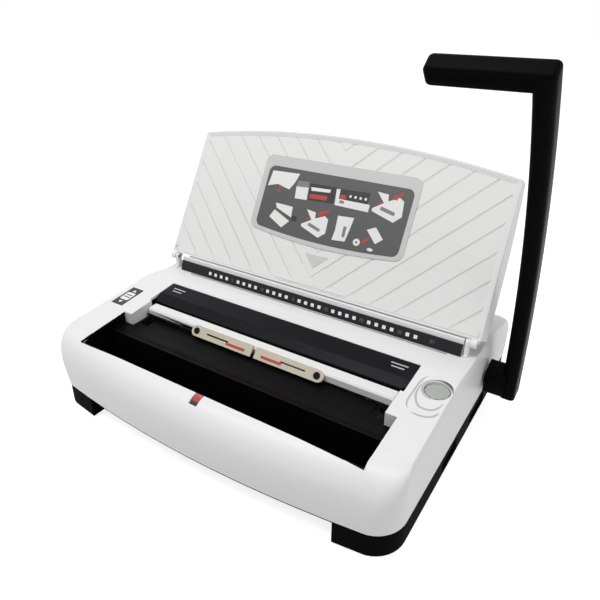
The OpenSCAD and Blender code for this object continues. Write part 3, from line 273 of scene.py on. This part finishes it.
def dress(node, edge, angle, least):
    """Copy of a solid with welded facets, smooth shading and its longer edges rounded, shown in its place."""
    mesh = frame["nodes"][node].data.copy()
    mesh.materials.clear()
    if "custom_normal" in mesh.attributes:
        mesh.attributes.remove(mesh.attributes["custom_normal"])
    shape = bmesh.new()
    shape.from_mesh(mesh)
    bmesh.ops.remove_doubles(shape, verts=shape.verts, dist=WELD * MM)
    if node in RESHAPED:
        RESHAPED[node](shape)
    flat = math.radians(FLAT_ANGLE)
    bmesh.ops.dissolve_limit(shape, angle_limit=flat, verts=shape.verts, edges=shape.edges)
    weight = shape.edges.layers.float.new("bevel_weight_edge")
    for line in shape.edges:
        turn = math.degrees(line.calc_face_angle(0.0))
        line[weight] = 1.0 if turn > angle and line.calc_length() > least * MM else 0.0
    shape.to_mesh(mesh)
    shape.free()
    mesh.materials.append(OWN_MATERIALS.get(node, MATERIALS[node_slot[node]]))
    mesh.polygons.foreach_set("use_smooth", [True] * len(mesh.polygons))
    mesh.set_sharp_from_angle(angle=math.radians(angle))
    piece = bpy.data.objects.new(node + "_skin", mesh)
    bpy.context.scene.collection.objects.link(piece)
    if edge:
        bevel = piece.modifiers.new("edges", "BEVEL")
        bevel.width = edge * MM
        bevel.segments = BEVEL_STEPS
        bevel.limit_method = "WEIGHT"
        bevel.use_clamp_overlap = False
        bevel.harden_normals = True
    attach(piece, node_body[node])
    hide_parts(node)
    return piece


# Width of the rounded edges, the least angle at which an edge counts, and the shortest edge that is rounded
DRESSED = {
    "top_housing": (0.4, 40, 8),
    "base_tray": (0.5, 40, 8),
    "bay_liner": (0.6, 40, 6),
    "beam_cover": (0.9, 12, 4),
    "scale_strip": (0.2, 32, 0),
    "lever_arm": (0, 32, 0),
    "cover_shell": (0.5, 40, 4),
    "cover_panel": (0.2, 32, 4),
    "label_plate": (0.2, 40, 0),
    "closing_bar": (0.5, 32, 2),
    "wire_holders": (0.3, 40, 0),
    "holder_screws": (0.3, 40, 0),
    "lid_catch": (0.4, 40, 0),
    "dial_knob": (0.5, 40, 0),
    "chip_drawer": (0.4, 40, 6),
    "hinge_brackets": (0.3, 40, 0),
    "foot_pads": (0.3, 40, 0),
    "lever_screw": (0.2, 40, 0),
    "return_springs": (0, 40, 0),
}
skins = {node_name: dress(node_name, *rounding) for node_name, rounding in DRESSED.items()}
for node_name, cad_object in frame["nodes"].items():
    if node_name not in DRESSED:
        cad_object.data.materials.clear()
        cad_object.data.materials.append(MATERIALS[node_slot[node_name]])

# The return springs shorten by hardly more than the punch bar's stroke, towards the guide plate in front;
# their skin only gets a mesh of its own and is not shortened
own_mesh(skins["return_springs"])


# Faces that carry print

class Plane:
    """A flat face of the machine: points on it are [u, v], with a height out of the face."""

    def __init__(self, origin, v, normal, u=(1, 0, 0)):
        self.origin = Vector(origin)
        self.u = Vector(u)
        self.v = Vector(v).normalized()
        self.normal = Vector(normal).normalized()

    def at(self, u, v, height):
        """Point of the scene, in metres."""
        return (self.origin + self.u * u + self.v * v + self.normal * height) * MM


def tilted(origin, lean):
    """Plane that leans back from upright by an angle."""
    a = math.radians(lean)
    return Plane(origin, (0, math.sin(a), math.cos(a)), (0, -math.cos(a), math.sin(a)))


COVER = tilted((BAY_X, 25, 105), lean=29.7)
SCALE = tilted((BAY_X, 21, 96.863), lean=19.3)
HOLDER = tilted((BAY_X, -65, 86), lean=42)
DECK = Plane((BAY_X, DECK_Y, DECK_Z), (0, 1, DECK_SLOPE), (0, -DECK_SLOPE, 1))
CATCH = Plane((BAY_X, -159, 75.152), (0, 4, 3.6), (0, -3.6, 4))


# Outlines and the pieces made of them

# Thickness of common print, of thin layers and of films
INK = 0.12
THIN_INK = 0.05
FILM = 0.1


def add_piece(name, shape, material, body):
    """Finishes a drawn shape and adds it to the scene, where it rides on a body."""
    bmesh.ops.recalc_face_normals(shape, faces=shape.faces)
    mesh = bpy.data.meshes.new(name)
    shape.to_mesh(mesh)
    shape.free()
    mesh.materials.append(material)
    piece = bpy.data.objects.new(name, mesh)
    bpy.context.scene.collection.objects.link(piece)
    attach(piece, body)


def printed(name, plane, outlines, height, material, body, thick=INK):
    """Thin raised print on a plane, made of outlines of [u, v] points."""
    shape = bmesh.new()
    for outline in outlines:
        low = [shape.verts.new(plane.at(u, v, height)) for u, v in outline]
        top = [shape.verts.new(plane.at(u, v, height + thick)) for u, v in outline]
        for i in range(len(outline)):
            j = (i + 1) % len(outline)
            shape.faces.new((low[i], low[j], top[j], top[i]))
        shape.faces.new(top)
        shape.faces.new(low[::-1])
    add_piece(name, shape, material, body)


def rect(u0, v0, u1, v1):
    """Rectangle between two opposite corners."""
    return [(u0, v0), (u1, v0), (u1, v1), (u0, v1)]


def moved(points, u, v, turn=0.0, size=1.0):
    """Outline that is scaled, turned and then moved."""
    c = math.cos(math.radians(turn)) * size
    s = math.sin(math.radians(turn)) * size
    return [(u + c * a - s * b, v + s * a + c * b) for a, b in points]


def ellipse(u, v, half_u, half_v, steps):
    """Ellipse round a middle."""
    turns = [2 * math.pi * k / steps for k in range(steps)]
    return [(u + half_u * math.cos(a), v + half_v * math.sin(a)) for a in turns]


def arc(u, v, radius, start, stop, steps=10):
    """Points along part of a circle."""
    turns = [math.radians(start + (stop - start) * k / steps) for k in range(steps + 1)]
    return [(u + radius * math.cos(a), v + radius * math.sin(a)) for a in turns]


def rounded(u0, v0, u1, v1, radius, bulge=0.0, steps=6):
    """Rounded rectangle whose bottom edge may bulge down."""
    left, right = u0 + radius, u1 - radius
    low, top = v0 + radius, v1 - radius
    points = []
    for u, v, start in ((right, low, -90), (right, top, 0), (left, top, 90), (left, low, 180)):
        points += arc(u, v, radius, start, start + 90, steps)
    if bulge:
        half = (u1 - u0) / 2 - radius
        middle = (u0 + u1) / 2
        shares = [-0.8 + 0.2 * k for k in range(9)]
        points += [(middle + half * t, v0 - bulge * (1 - t * t)) for t in shares]
    return points


def smooth(points, steps=6):
    """Points of a Catmull-Rom curve, which runs smoothly through the given ones."""
    ends = [points[0]] + points + [points[-1]]
    curve = []
    for a, b, c, d in zip(ends, ends[1:], ends[2:], ends[3:]):
        for k in range(steps):
            t = k / steps
            curve.append(tuple(b[i] + 0.5 * t * (c[i] - a[i] + t * (2 * a[i] - 5 * b[i] + 4 * c[i] - d[i]
                               + t * (3 * b[i] - a[i] - 3 * c[i] + d[i]))) for i in (0, 1)))
    return curve + [points[-1]]


# Share of a curved band's width that is left at its tips
TIP = 0.1


def stroke(points, width, taper=5.0):
    """Curved band along a row of points, narrow at both ends."""
    curve = [Vector(p) for p in smooth(points)]
    last = len(curve) - 1
    left, right = [], []
    for k, p in enumerate(curve):
        along = (curve[min(k + 1, last)] - curve[max(k - 1, 0)]).normalized()
        half = width / 2 * min(1.0, taper * k / last + TIP, taper * (last - k) / last + TIP)
        left.append((p.x - along.y * half, p.y + along.x * half))
        right.append((p.x + along.y * half, p.y - along.x * half))
    return left + right[::-1]


# Segments of a plain printed figure, on a cell one wide and two high
SEGMENTS = {"a": (0, 2, 1, 2), "b": (1, 1, 1, 2), "c": (1, 0, 1, 1), "d": (0, 0, 1, 0), "e": (0, 0, 0, 1),
            "f": (0, 1, 0, 2), "g": (0, 1, 1, 1)}
FIGURES = {"0": "abcdef", "1": "bc", "2": "abged", "3": "abgcd", "4": "fgbc", "5": "afgcd", "6": "afgedc",
           "7": "abc", "8": "abcdefg", "9": "abcdfg"}


def number(text, u, v, height, line):
    """Outlines of a number made of plain bars, centred at [u, v]."""
    cell = height / 2
    pitch = cell + 2 * line
    left = u - (pitch * len(text) - 2 * line) / 2
    low = v - cell
    half = line / 2
    bars = []
    for k, figure in enumerate(text):
        start = left + k * pitch
        for key in FIGURES[figure]:
            u0, v0, u1, v1 = SEGMENTS[key]
            bars.append(rect(start + u0 * cell - half, low + v0 * cell - half,
                             start + u1 * cell + half, low + v1 * cell + half))
    return bars


# Hole scale: white marks up to the 32nd hole, with a dim number instead at each fifth and at the last

HOLES = 34
MARKED_HOLES = 32
NUMBER_STEP = 5
PITCH = 8.4667
ROW_MID = 8.35
ROW_V = -0.4
STRIP_FACE = 1.2
MARK_HALF = 1.9
MARK_R = 0.5
NUMBER_HEIGHT = 3.2
NUMBER_LINE = 0.45
marks, numbers = [], []
for hole in range(1, HOLES + 1):
    along = ROW_MID + (hole - 1 - (HOLES - 1) / 2) * PITCH
    if hole % NUMBER_STEP == 0 or hole == HOLES:
        numbers += number(str(hole), along, ROW_V, NUMBER_HEIGHT, NUMBER_LINE)
    elif hole <= MARKED_HOLES:
        marks.append(rounded(along - MARK_HALF, ROW_V - MARK_HALF, along + MARK_HALF, ROW_V + MARK_HALF,
                             MARK_R, steps=2))
printed("scale_marks", SCALE, marks, STRIP_FACE, PRINT_WHITE, "base")
printed("scale_numbers", SCALE, numbers, STRIP_FACE, PRINT_DIM, "base")


# Label on the cover: dark field with plain pictograms of the steps

FIELD_FACE = -0.7
FIELD_TOP = FIELD_FACE + INK
machine_icon = [(-30, 10), (-18, 8.4), (-17, 1.8), (-5.8, 6.6), (-1, 3.4), (0, -11.6), (-7.6, -18),
                (-32, -9.6), (-32, -6.8), (-21, -0.4)]
slot_icon = [(-23.2, -3.8), (-7.6, -8.2), (-8, -11.8), (-23.8, -7.4)]
arrow_icon = [(-6, -1.6), (2.5, -1.6), (2.5, -4), (8, 0), (2.5, 4), (2.5, 1.6), (-6, 1.6)]
# Places of the two small machines, with their turn and size
MACHINES = ((3.7, 80.1), (82.4, 114.2, 3, 1.06))
# Places of the arrows, with their turn and size
ARROWS = ((74, 122.4, 217, 0.95), (-4.4, 90, 209, 1.05), (52, 71.4, 220, 0.75), (-68, 106.4, 262, 0.65),
          (55.6, 111.2, 30, 0.42), (-22, 80.2, 30, 0.42))
HUB = (42, 67)
DOT_FIRST = (21.2, 112.8)
DOT_STEP = 6
DOT_R = 1.5
black_icons = [
    [(-30.4, 118.8), (4, 119.6), (2.7, 101.5), (-28.5, 100)],
    [(7.9, 118.7), (43.1, 120.2), (42.6, 108), (8.5, 108)],
    rounded(-42.6, 73.6, -36, 79.6, 1.4),
]
white_icons = [
    [(-82.9, 125.6), (-46.8, 126.8), (-50.7, 115.5), (-55.7, 107.5), (-72.2, 111.2), (-85, 107.6)],
    [(-47.3, 112.5), (-31.5, 113.5), (-30, 99.8), (-45.5, 99.2)],
    [(-28.4, 114.9), (-3.4, 115.9), (-3.9, 112.4), (-27.1, 110.9)],
    [(2.9, 118.1), (7.5, 118.2), (8.4, 108), (45.4, 107.9), (45.6, 100), (5.3, 100.6)],
    *[moved(machine_icon, *place) for place in MACHINES],
    [(-68, 90.1), (-44.8, 89.2), (-43.5, 77.3), (-65.4, 84.7)],
    [(-67.1, 82.2), (-44.5, 72.8), (-52.7, 63.9), (-72.1, 73.2)],
    [(13, 90.3), (32.2, 91.3), (30.6, 77.5), (28.5, 64.8), (13, 63.5), (14.1, 74.7)],
    [(49.7, 82.1), (59, 86.6), (70, 75.7), (62.7, 69.5)],
    ellipse(*HUB, 4, 3.8, 20),
    ellipse(59, 62.6, 3.4, 1.7, 16),
]
grey_icons = [
    [(-46.6, 119.4), (-32.2, 119.8), (-31.5, 113.5), (-47.3, 112.5)],
    *[moved(slot_icon, *place) for place in MACHINES],
    [(22.8, 80.6), (26.6, 80.3), (26.8, 68.8), (23.4, 69)],
    rounded(10, 103.6, 15.4, 106.8, 0.6),
]
hub_icons = [ellipse(*HUB, 1.4, 1.4, 12)]
red_icons = [
    [(-27.6, 107.3), (-5.7, 108.3), (-5.7, 103.4), (-27.6, 102.3)],
    rounded(9.4, 108.6, 16.4, 113, 0.8),
    *[moved(arrow_icon, *place) for place in ARROWS],
]
dot_icons = [ellipse(DOT_FIRST[0] + DOT_STEP * k, DOT_FIRST[1], DOT_R, DOT_R, 12) for k in range(4)]
# Layers of the label, from the field up, with the height of each one above the field
LABEL_LAYERS = (
    ("label_black", black_icons, 0, PRINT_BLACK),
    ("label_white", white_icons, 0.03, PRINT_WHITE),
    ("label_grey_marks", grey_icons, 0.06, PRINT_MID),
    ("label_hub", hub_icons, 0.07, PRINT_MID),
    ("label_red", red_icons, 0.09, PRINT_RED),
    ("label_dots", dot_icons, 0.06, PRINT_WHITE),
)
label_field = rounded(-88, 60.5, 90, 131.5, 7.5, bulge=4.5)
printed("label_field", COVER, [label_field], FIELD_FACE, DARK_PRINT_AND_SHADE, "cover")
for layer_name, icons, lift, layer_ink in LABEL_LAYERS:
    printed(layer_name, COVER, icons, FIELD_TOP + lift, layer_ink, "cover", THIN_INK)


# Face of the cover: its outline, a pale seam along the rim and painted shade in the chevron grooves

COVER_LOW = 4
COVER_TOP = 174.5
SIDE_LEN = 158
HALF_W_LOW = 195
HALF_W_TIP = 190
ARCH_RISE = 16.5
ARCH_R = (HALF_W_TIP ** 2 + ARCH_RISE ** 2) / (2 * ARCH_RISE)
ARCH_STEPS = 40
# Length up the cover at which the seam and the grooves start
FACE_LOW = COVER_LOW + 8


def cover_half(v):
    """Half width of the cover at a length up its face."""
    return HALF_W_LOW - (HALF_W_LOW - HALF_W_TIP) * (v - COVER_LOW) / (SIDE_LEN - COVER_LOW)


def cover_arch(u, inset):
    """Length up the face at which the arched edge lies."""
    return COVER_TOP - ARCH_R + math.sqrt((ARCH_R - inset) ** 2 - u ** 2)


def cover_edge(inset):
    """Points up the left side, over the arch and down the right side, at a distance inside the edge."""
    corner = cover_half(SIDE_LEN) - inset
    across = [corner * (2 * k / ARCH_STEPS - 1) for k in range(ARCH_STEPS + 1)]
    side = cover_half(FACE_LOW) - inset
    edge = [(-side, FACE_LOW)] + [(u, cover_arch(u, inset)) for u in across] + [(side, FACE_LOW)]
    return [(u + SHELL_SHIFT, v) for u, v in edge]


def seam(name, plane, outer, inner, thick, material, body):
    """Sloped strip between two rows of points, each given with its height, closed on all sides."""
    outer_row, outer_height = outer
    inner_row, inner_height = inner
    shape = bmesh.new()
    sections = []
    for out_point, in_point in zip(outer_row, inner_row):
        corners = [(*out_point, outer_height), (*in_point, inner_height), (*in_point, inner_height - thick),
                   (*out_point, outer_height - thick)]
        sections.append([shape.verts.new(plane.at(*corner)) for corner in corners])
    for one, two in zip(sections, sections[1:]):
        for i in range(4):
            j = (i + 1) % 4
            shape.faces.new((one[i], one[j], two[j], two[i]))
    shape.faces.new(sections[0][::-1])
    shape.faces.new(sections[-1])
    add_piece(name, shape, material, body)


# Inset and height of the seam's outer and inner edge, and its thickness
RIM_INSET = 2.3
RIM_FACE = -0.28
PANEL_INSET = 6
PANEL_FACE = -1.4
SEAM_THICK = 0.08
seam("cover_seam", COVER, (cover_edge(RIM_INSET), RIM_FACE), (cover_edge(PANEL_INSET), PANEL_FACE),
     SEAM_THICK, MATERIALS["cover_grey"], "cover")

# The grooves rise to both sides at 45 degrees, so steps and widths across them grow when measured upright
GROOVE_FIRST = COVER_LOW + 12
GROOVE_STEP = 20 * math.sqrt(2)
GROOVE_TALL = 1.8 * math.sqrt(2)
GROOVE_FLOOR = -1.98
# Numbers of the grooves, from below the face to above it
GROOVE_ROW = range(-7, 6)
# Ends of a groove from the middle, its least distances from the arch and the sides, and the distance of the
# shade from its walls
GROOVE_NEAR = 14
GROOVE_FAR = 205
ARCH_GAP = 8
SIDE_GAP = 7
WALL_GAP = 0.3


def groove(middle, side):
    """Outline of the painted shade in one groove, or nothing where the groove has no length on the face."""
    inside = [u for u in range(GROOVE_NEAR, GROOVE_FAR)
              if FACE_LOW < middle + u < cover_arch(u, ARCH_GAP)
              and abs(side * u - SHELL_SHIFT) < cover_half(middle + u) - SIDE_GAP]
    if len(inside) < 3:
        return []
    near, far = inside[0], inside[-1]
    low = middle + WALL_GAP
    top = middle + GROOVE_TALL - WALL_GAP
    return [[(side * near, low + near), (side * far, low + far), (side * far, top + far),
             (side * near, top + near)]]


grooves = []
for k in GROOVE_ROW:
    for side in (1, -1):
        grooves += groove(GROOVE_FIRST + k * GROOVE_STEP, side)
# Painted shade on the floors of the grooves
printed("cover_groove_shade", COVER, grooves, GROOVE_FLOOR, GROOVE_SHADE_PAINT, "cover", THIN_INK)


# Moulded arrow under the label

ARROW_TOP = 43
ARROW_HALF = 14
ARROW_FACE = -0.9
ARROW_THICK = 0.08
cover_arrow = [(-ARROW_HALF, ARROW_TOP), (0, ARROW_TOP - ARROW_HALF), (ARROW_HALF, ARROW_TOP)]
printed("cover_arrow", COVER, [cover_arrow], ARROW_FACE, PRINT_PALE, "cover", ARROW_THICK)


# Grey bands round the dial, wider towards the front, painted as the shade along the steps of the recess round
# it, and painted shade on the rear rim of its well

DIAL = (178, -24.1)
STEP_SHADE_THICK = 0.16
RIM_THICK = 0.2
# Bands of painted shade where the recess steps down towards the dial
step_shade_bands = [
    stroke([(165, -10.5), (162.4, -14.5), (161, -19.5), (160.5, -26), (160.4, -33), (160.2, -40.8),
            (160.4, -47.5), (161.6, -52), (164.2, -56)], 1.6),
    stroke([(168, -59), (172.4, -59.3), (177.8, -59), (182.6, -57.5), (185.6, -55.4), (187.7, -52.2),
            (189, -48.8)], 1.7),
    stroke([(163.4, -18), (162.8, -28), (163.9, -37.8), (167, -44.5), (170.5, -48.8), (174.5, -50.2),
            (179.4, -49.8), (183.6, -47.7), (186.7, -42.7), (188.3, -36.5)], 1.9),
    stroke(arc(*DIAL, 13.1, 95, 268), 2.0, 3.0),
]
# Painted shade along the rear rim of the dial's well
rim_shade_band = stroke(arc(*DIAL, 13, 8, 118), 2.4, 2.2)
printed("dial_step_shade", DECK, step_shade_bands, 0, STEP_SHADE_PAINT, "base", STEP_SHADE_THICK)
printed("dial_shade", DECK, [rim_shade_band], 0, DARK_PRINT_AND_SHADE, "base", RIM_THICK)


# Direction label on the left arm, with plain arrows and bars

ARM_U = -181
ARM_INK = 0.06
ARM_BAR_INK = 0.04
arm_label = rounded(ARM_U - 8.5, -63, ARM_U + 8.5, -29, 1)
arm_icons = [
    rounded(ARM_U - 6, -53, ARM_U + 6, -38.5, 2.5),
    moved([(-3, 0), (3, 0), (0, 4)], ARM_U, -36.5),
    moved([(-3, 0), (3, 0), (0, -4)], ARM_U, -55.5),
]
arm_bars = [rect(ARM_U - 4.5, low, ARM_U + 4.5, low + 1.4) for low in (-48, -44)]
printed("arm_label", DECK, [arm_label], 0, PRINT_BLACK, "base", FILM)
printed("arm_icons", DECK, arm_icons, FILM, PRINT_WHITE, "base", ARM_INK)
printed("arm_bars", DECK, arm_bars, FILM + ARM_INK, PRINT_BLACK, "base", ARM_BAR_INK)


# Short plain bars at both ends of the beam panel

END_U = 136
BAR_TALL = 1.6
BAR_R = 0.4
end_bars = []
for middle in (-END_U, END_U):
    for half, low in ((8.5, -9), (6.5, -13.6)):
        end_bars.append(rounded(middle - half, low, middle + half, low + BAR_TALL, BAR_R))
printed("panel_bars", DECK, end_bars, 0, PRINT_LINE, "base")


# Black lip of the bay: the tray shows up to the edge of the opening at both sides and along the front

BAY_HALF_W = 161
BAY_FRONT = -148
BAY_STEP = -89
# Depths of the lip's top and bottom under the deck, half the gap for the catch, and the gap at the corners
LIP_TOP = 0.45
LIP_LOW = 3.1
CATCH_HALF = 7
CORNER_GAP = 0.2
front_z = deck_height(BAY_FRONT)
step_z = deck_height(BAY_STEP)
side_lip = [(BAY_FRONT, front_z - LIP_LOW), (BAY_STEP, step_z - LIP_LOW), (BAY_STEP, step_z - LIP_TOP),
            (BAY_FRONT, front_z - LIP_TOP)]
for lip_name, side in (("bay_lip_left", -1), ("bay_lip_right", 1)):
    side_face = Plane((BAY_X + side * BAY_HALF_W, 0, 0), (0, 0, 1), (-side, 0, 0), u=(0, 1, 0))
    printed(lip_name, side_face, [side_lip], 0, MATERIALS["black_plastic"], "base", FILM)
front_face = Plane((BAY_X, BAY_FRONT, front_z), (0, 0, 1), (0, 1, 0))
lip_end = BAY_HALF_W - CORNER_GAP
front_lips = [rect(CATCH_HALF, -LIP_LOW, lip_end, -LIP_TOP), rect(-lip_end, -LIP_LOW, -CATCH_HALF, -LIP_TOP)]
printed("bay_lip_front", front_face, front_lips, 0, MATERIALS["black_plastic"], "base", FILM)


# Dark lower end of the catch

catch_shade = rounded(-4.1, 0.5, 4.1, 5.0, 0.6)
printed("catch_shade", CATCH, [catch_shade], 0, PRINT_BLACK, "base", FILM)


# Red bars on the wire holders

HOLDER_FACE = 2.0
RED_NEAR = 10
RED_FAR = 34
RED_LOW = -9.4
RED_TOP = -6.6
RED_R = 0.8
red_bars = [rounded(RED_NEAR, RED_LOW, RED_FAR, RED_TOP, RED_R),
            rounded(-RED_FAR, RED_LOW, -RED_NEAR, RED_TOP, RED_R)]
printed("holder_bars", HOLDER, red_bars, HOLDER_FACE, PRINT_RED, "closer", FILM)


# Stage

FLOOR_HALF = 6.0
FLOOR_GREY = 0.60
FLOOR_LIFT = 0.8
FLOOR_ROUGH = 0.9
WHITE = (1, 1, 1, 1)
# Strength of the background where it lights the machine, and where it is seen
AMBIENT = 0.38
BACKDROP = 1.0
# Place of each light, its size and its power
LIGHTS = {
    "key": ((-0.55, -0.7, 2.1), 1.3, 29),
    "fill": ((1.8, -0.3, 1.0), 1.4, 7),
    "top": ((0.2, 0.4, 1.9), 1.5, 3),
}
LIGHT_TARGET = Vector((0, 0, 0.1))


def seen_rays(nodes, links):
    """1 for rays from the camera, also by a reflection or through glass, and 0 for rays that only light."""
    path = nodes.new("ShaderNodeLightPath")
    total = path.outputs["Is Camera Ray"]
    for kind in ("Is Glossy Ray", "Is Transmission Ray"):
        both = nodes.new("ShaderNodeMath")
        both.operation = "ADD"
        both.use_clamp = True
        links.new(total, both.inputs[0])
        links.new(path.outputs[kind], both.inputs[1])
        total = both.outputs["Value"]
    return total


def floor_material():
    """Pale matt ground that looks white to the eye and still takes shadows."""
    mat, nodes, links, shader = node_tree("pale_floor")
    shader.inputs["Base Color"].default_value = (FLOOR_GREY, FLOOR_GREY, FLOOR_GREY, 1)
    shader.inputs["Roughness"].default_value = FLOOR_ROUGH
    shader.inputs["Emission Color"].default_value = WHITE
    gain = nodes.new("ShaderNodeMath")
    gain.operation = "MULTIPLY"
    gain.inputs[1].default_value = FLOOR_LIFT
    links.new(seen_rays(nodes, links), gain.inputs[0])
    links.new(gain.outputs["Value"], shader.inputs["Emission Strength"])
    return mat


floor_mesh = bpy.data.meshes.new("floor")
floor_corners = [(u, v, 0) for u, v in rect(-FLOOR_HALF, -FLOOR_HALF, FLOOR_HALF, FLOOR_HALF)]
floor_mesh.from_pydata(floor_corners, [], [(0, 1, 2, 3)])
floor_mesh.materials.append(floor_material())
floor = bpy.data.objects.new("floor", floor_mesh)
bpy.context.scene.collection.objects.link(floor)

world = bpy.data.worlds.new("studio")
bpy.context.scene.world = world
world.use_nodes = True
world_nodes = world.node_tree.nodes
world_links = world.node_tree.links
background = world_nodes["Background"]
background.inputs["Color"].default_value = WHITE
strength = world_nodes.new("ShaderNodeMapRange")
strength.inputs["To Min"].default_value = AMBIENT
strength.inputs["To Max"].default_value = BACKDROP
world_links.new(seen_rays(world_nodes, world_links), strength.inputs["Value"])
world_links.new(strength.outputs["Result"], background.inputs["Strength"])

for light_name, (place, size, power) in LIGHTS.items():
    lamp = bpy.data.lights.new(light_name, "AREA")
    lamp.size = size
    lamp.energy = power
    light = bpy.data.objects.new(light_name, lamp)
    light.location = place
    light.rotation_euler = (LIGHT_TARGET - Vector(place)).to_track_quat("-Z", "Y").to_euler()
    bpy.context.scene.collection.objects.link(light)


# Camera at the photo's angle

RIGHT = Vector((0.8418, 0.5398, 0.0))
DOWN = Vector((0.2588, -0.4036, -0.8776))
FORWARD = Vector((-0.4737, 0.7388, -0.4794))
EYE = Vector((285.7 + BAY_X, -430.8, 390.8))
camera_data = bpy.data.cameras.new("camera")
camera_data.lens = 33.5
camera_data.sensor_width = 36
camera_data.clip_start = 0.01
camera = bpy.data.objects.new("camera", camera_data)
turn = Matrix((RIGHT, -DOWN, -FORWARD)).transposed().to_4x4()
camera.matrix_world = Matrix.Translation(EYE * MM) @ turn
bpy.context.scene.collection.objects.link(camera)
bpy.context.scene.camera = camera
bpy.context.scene.view_settings.view_transform = "Standard"
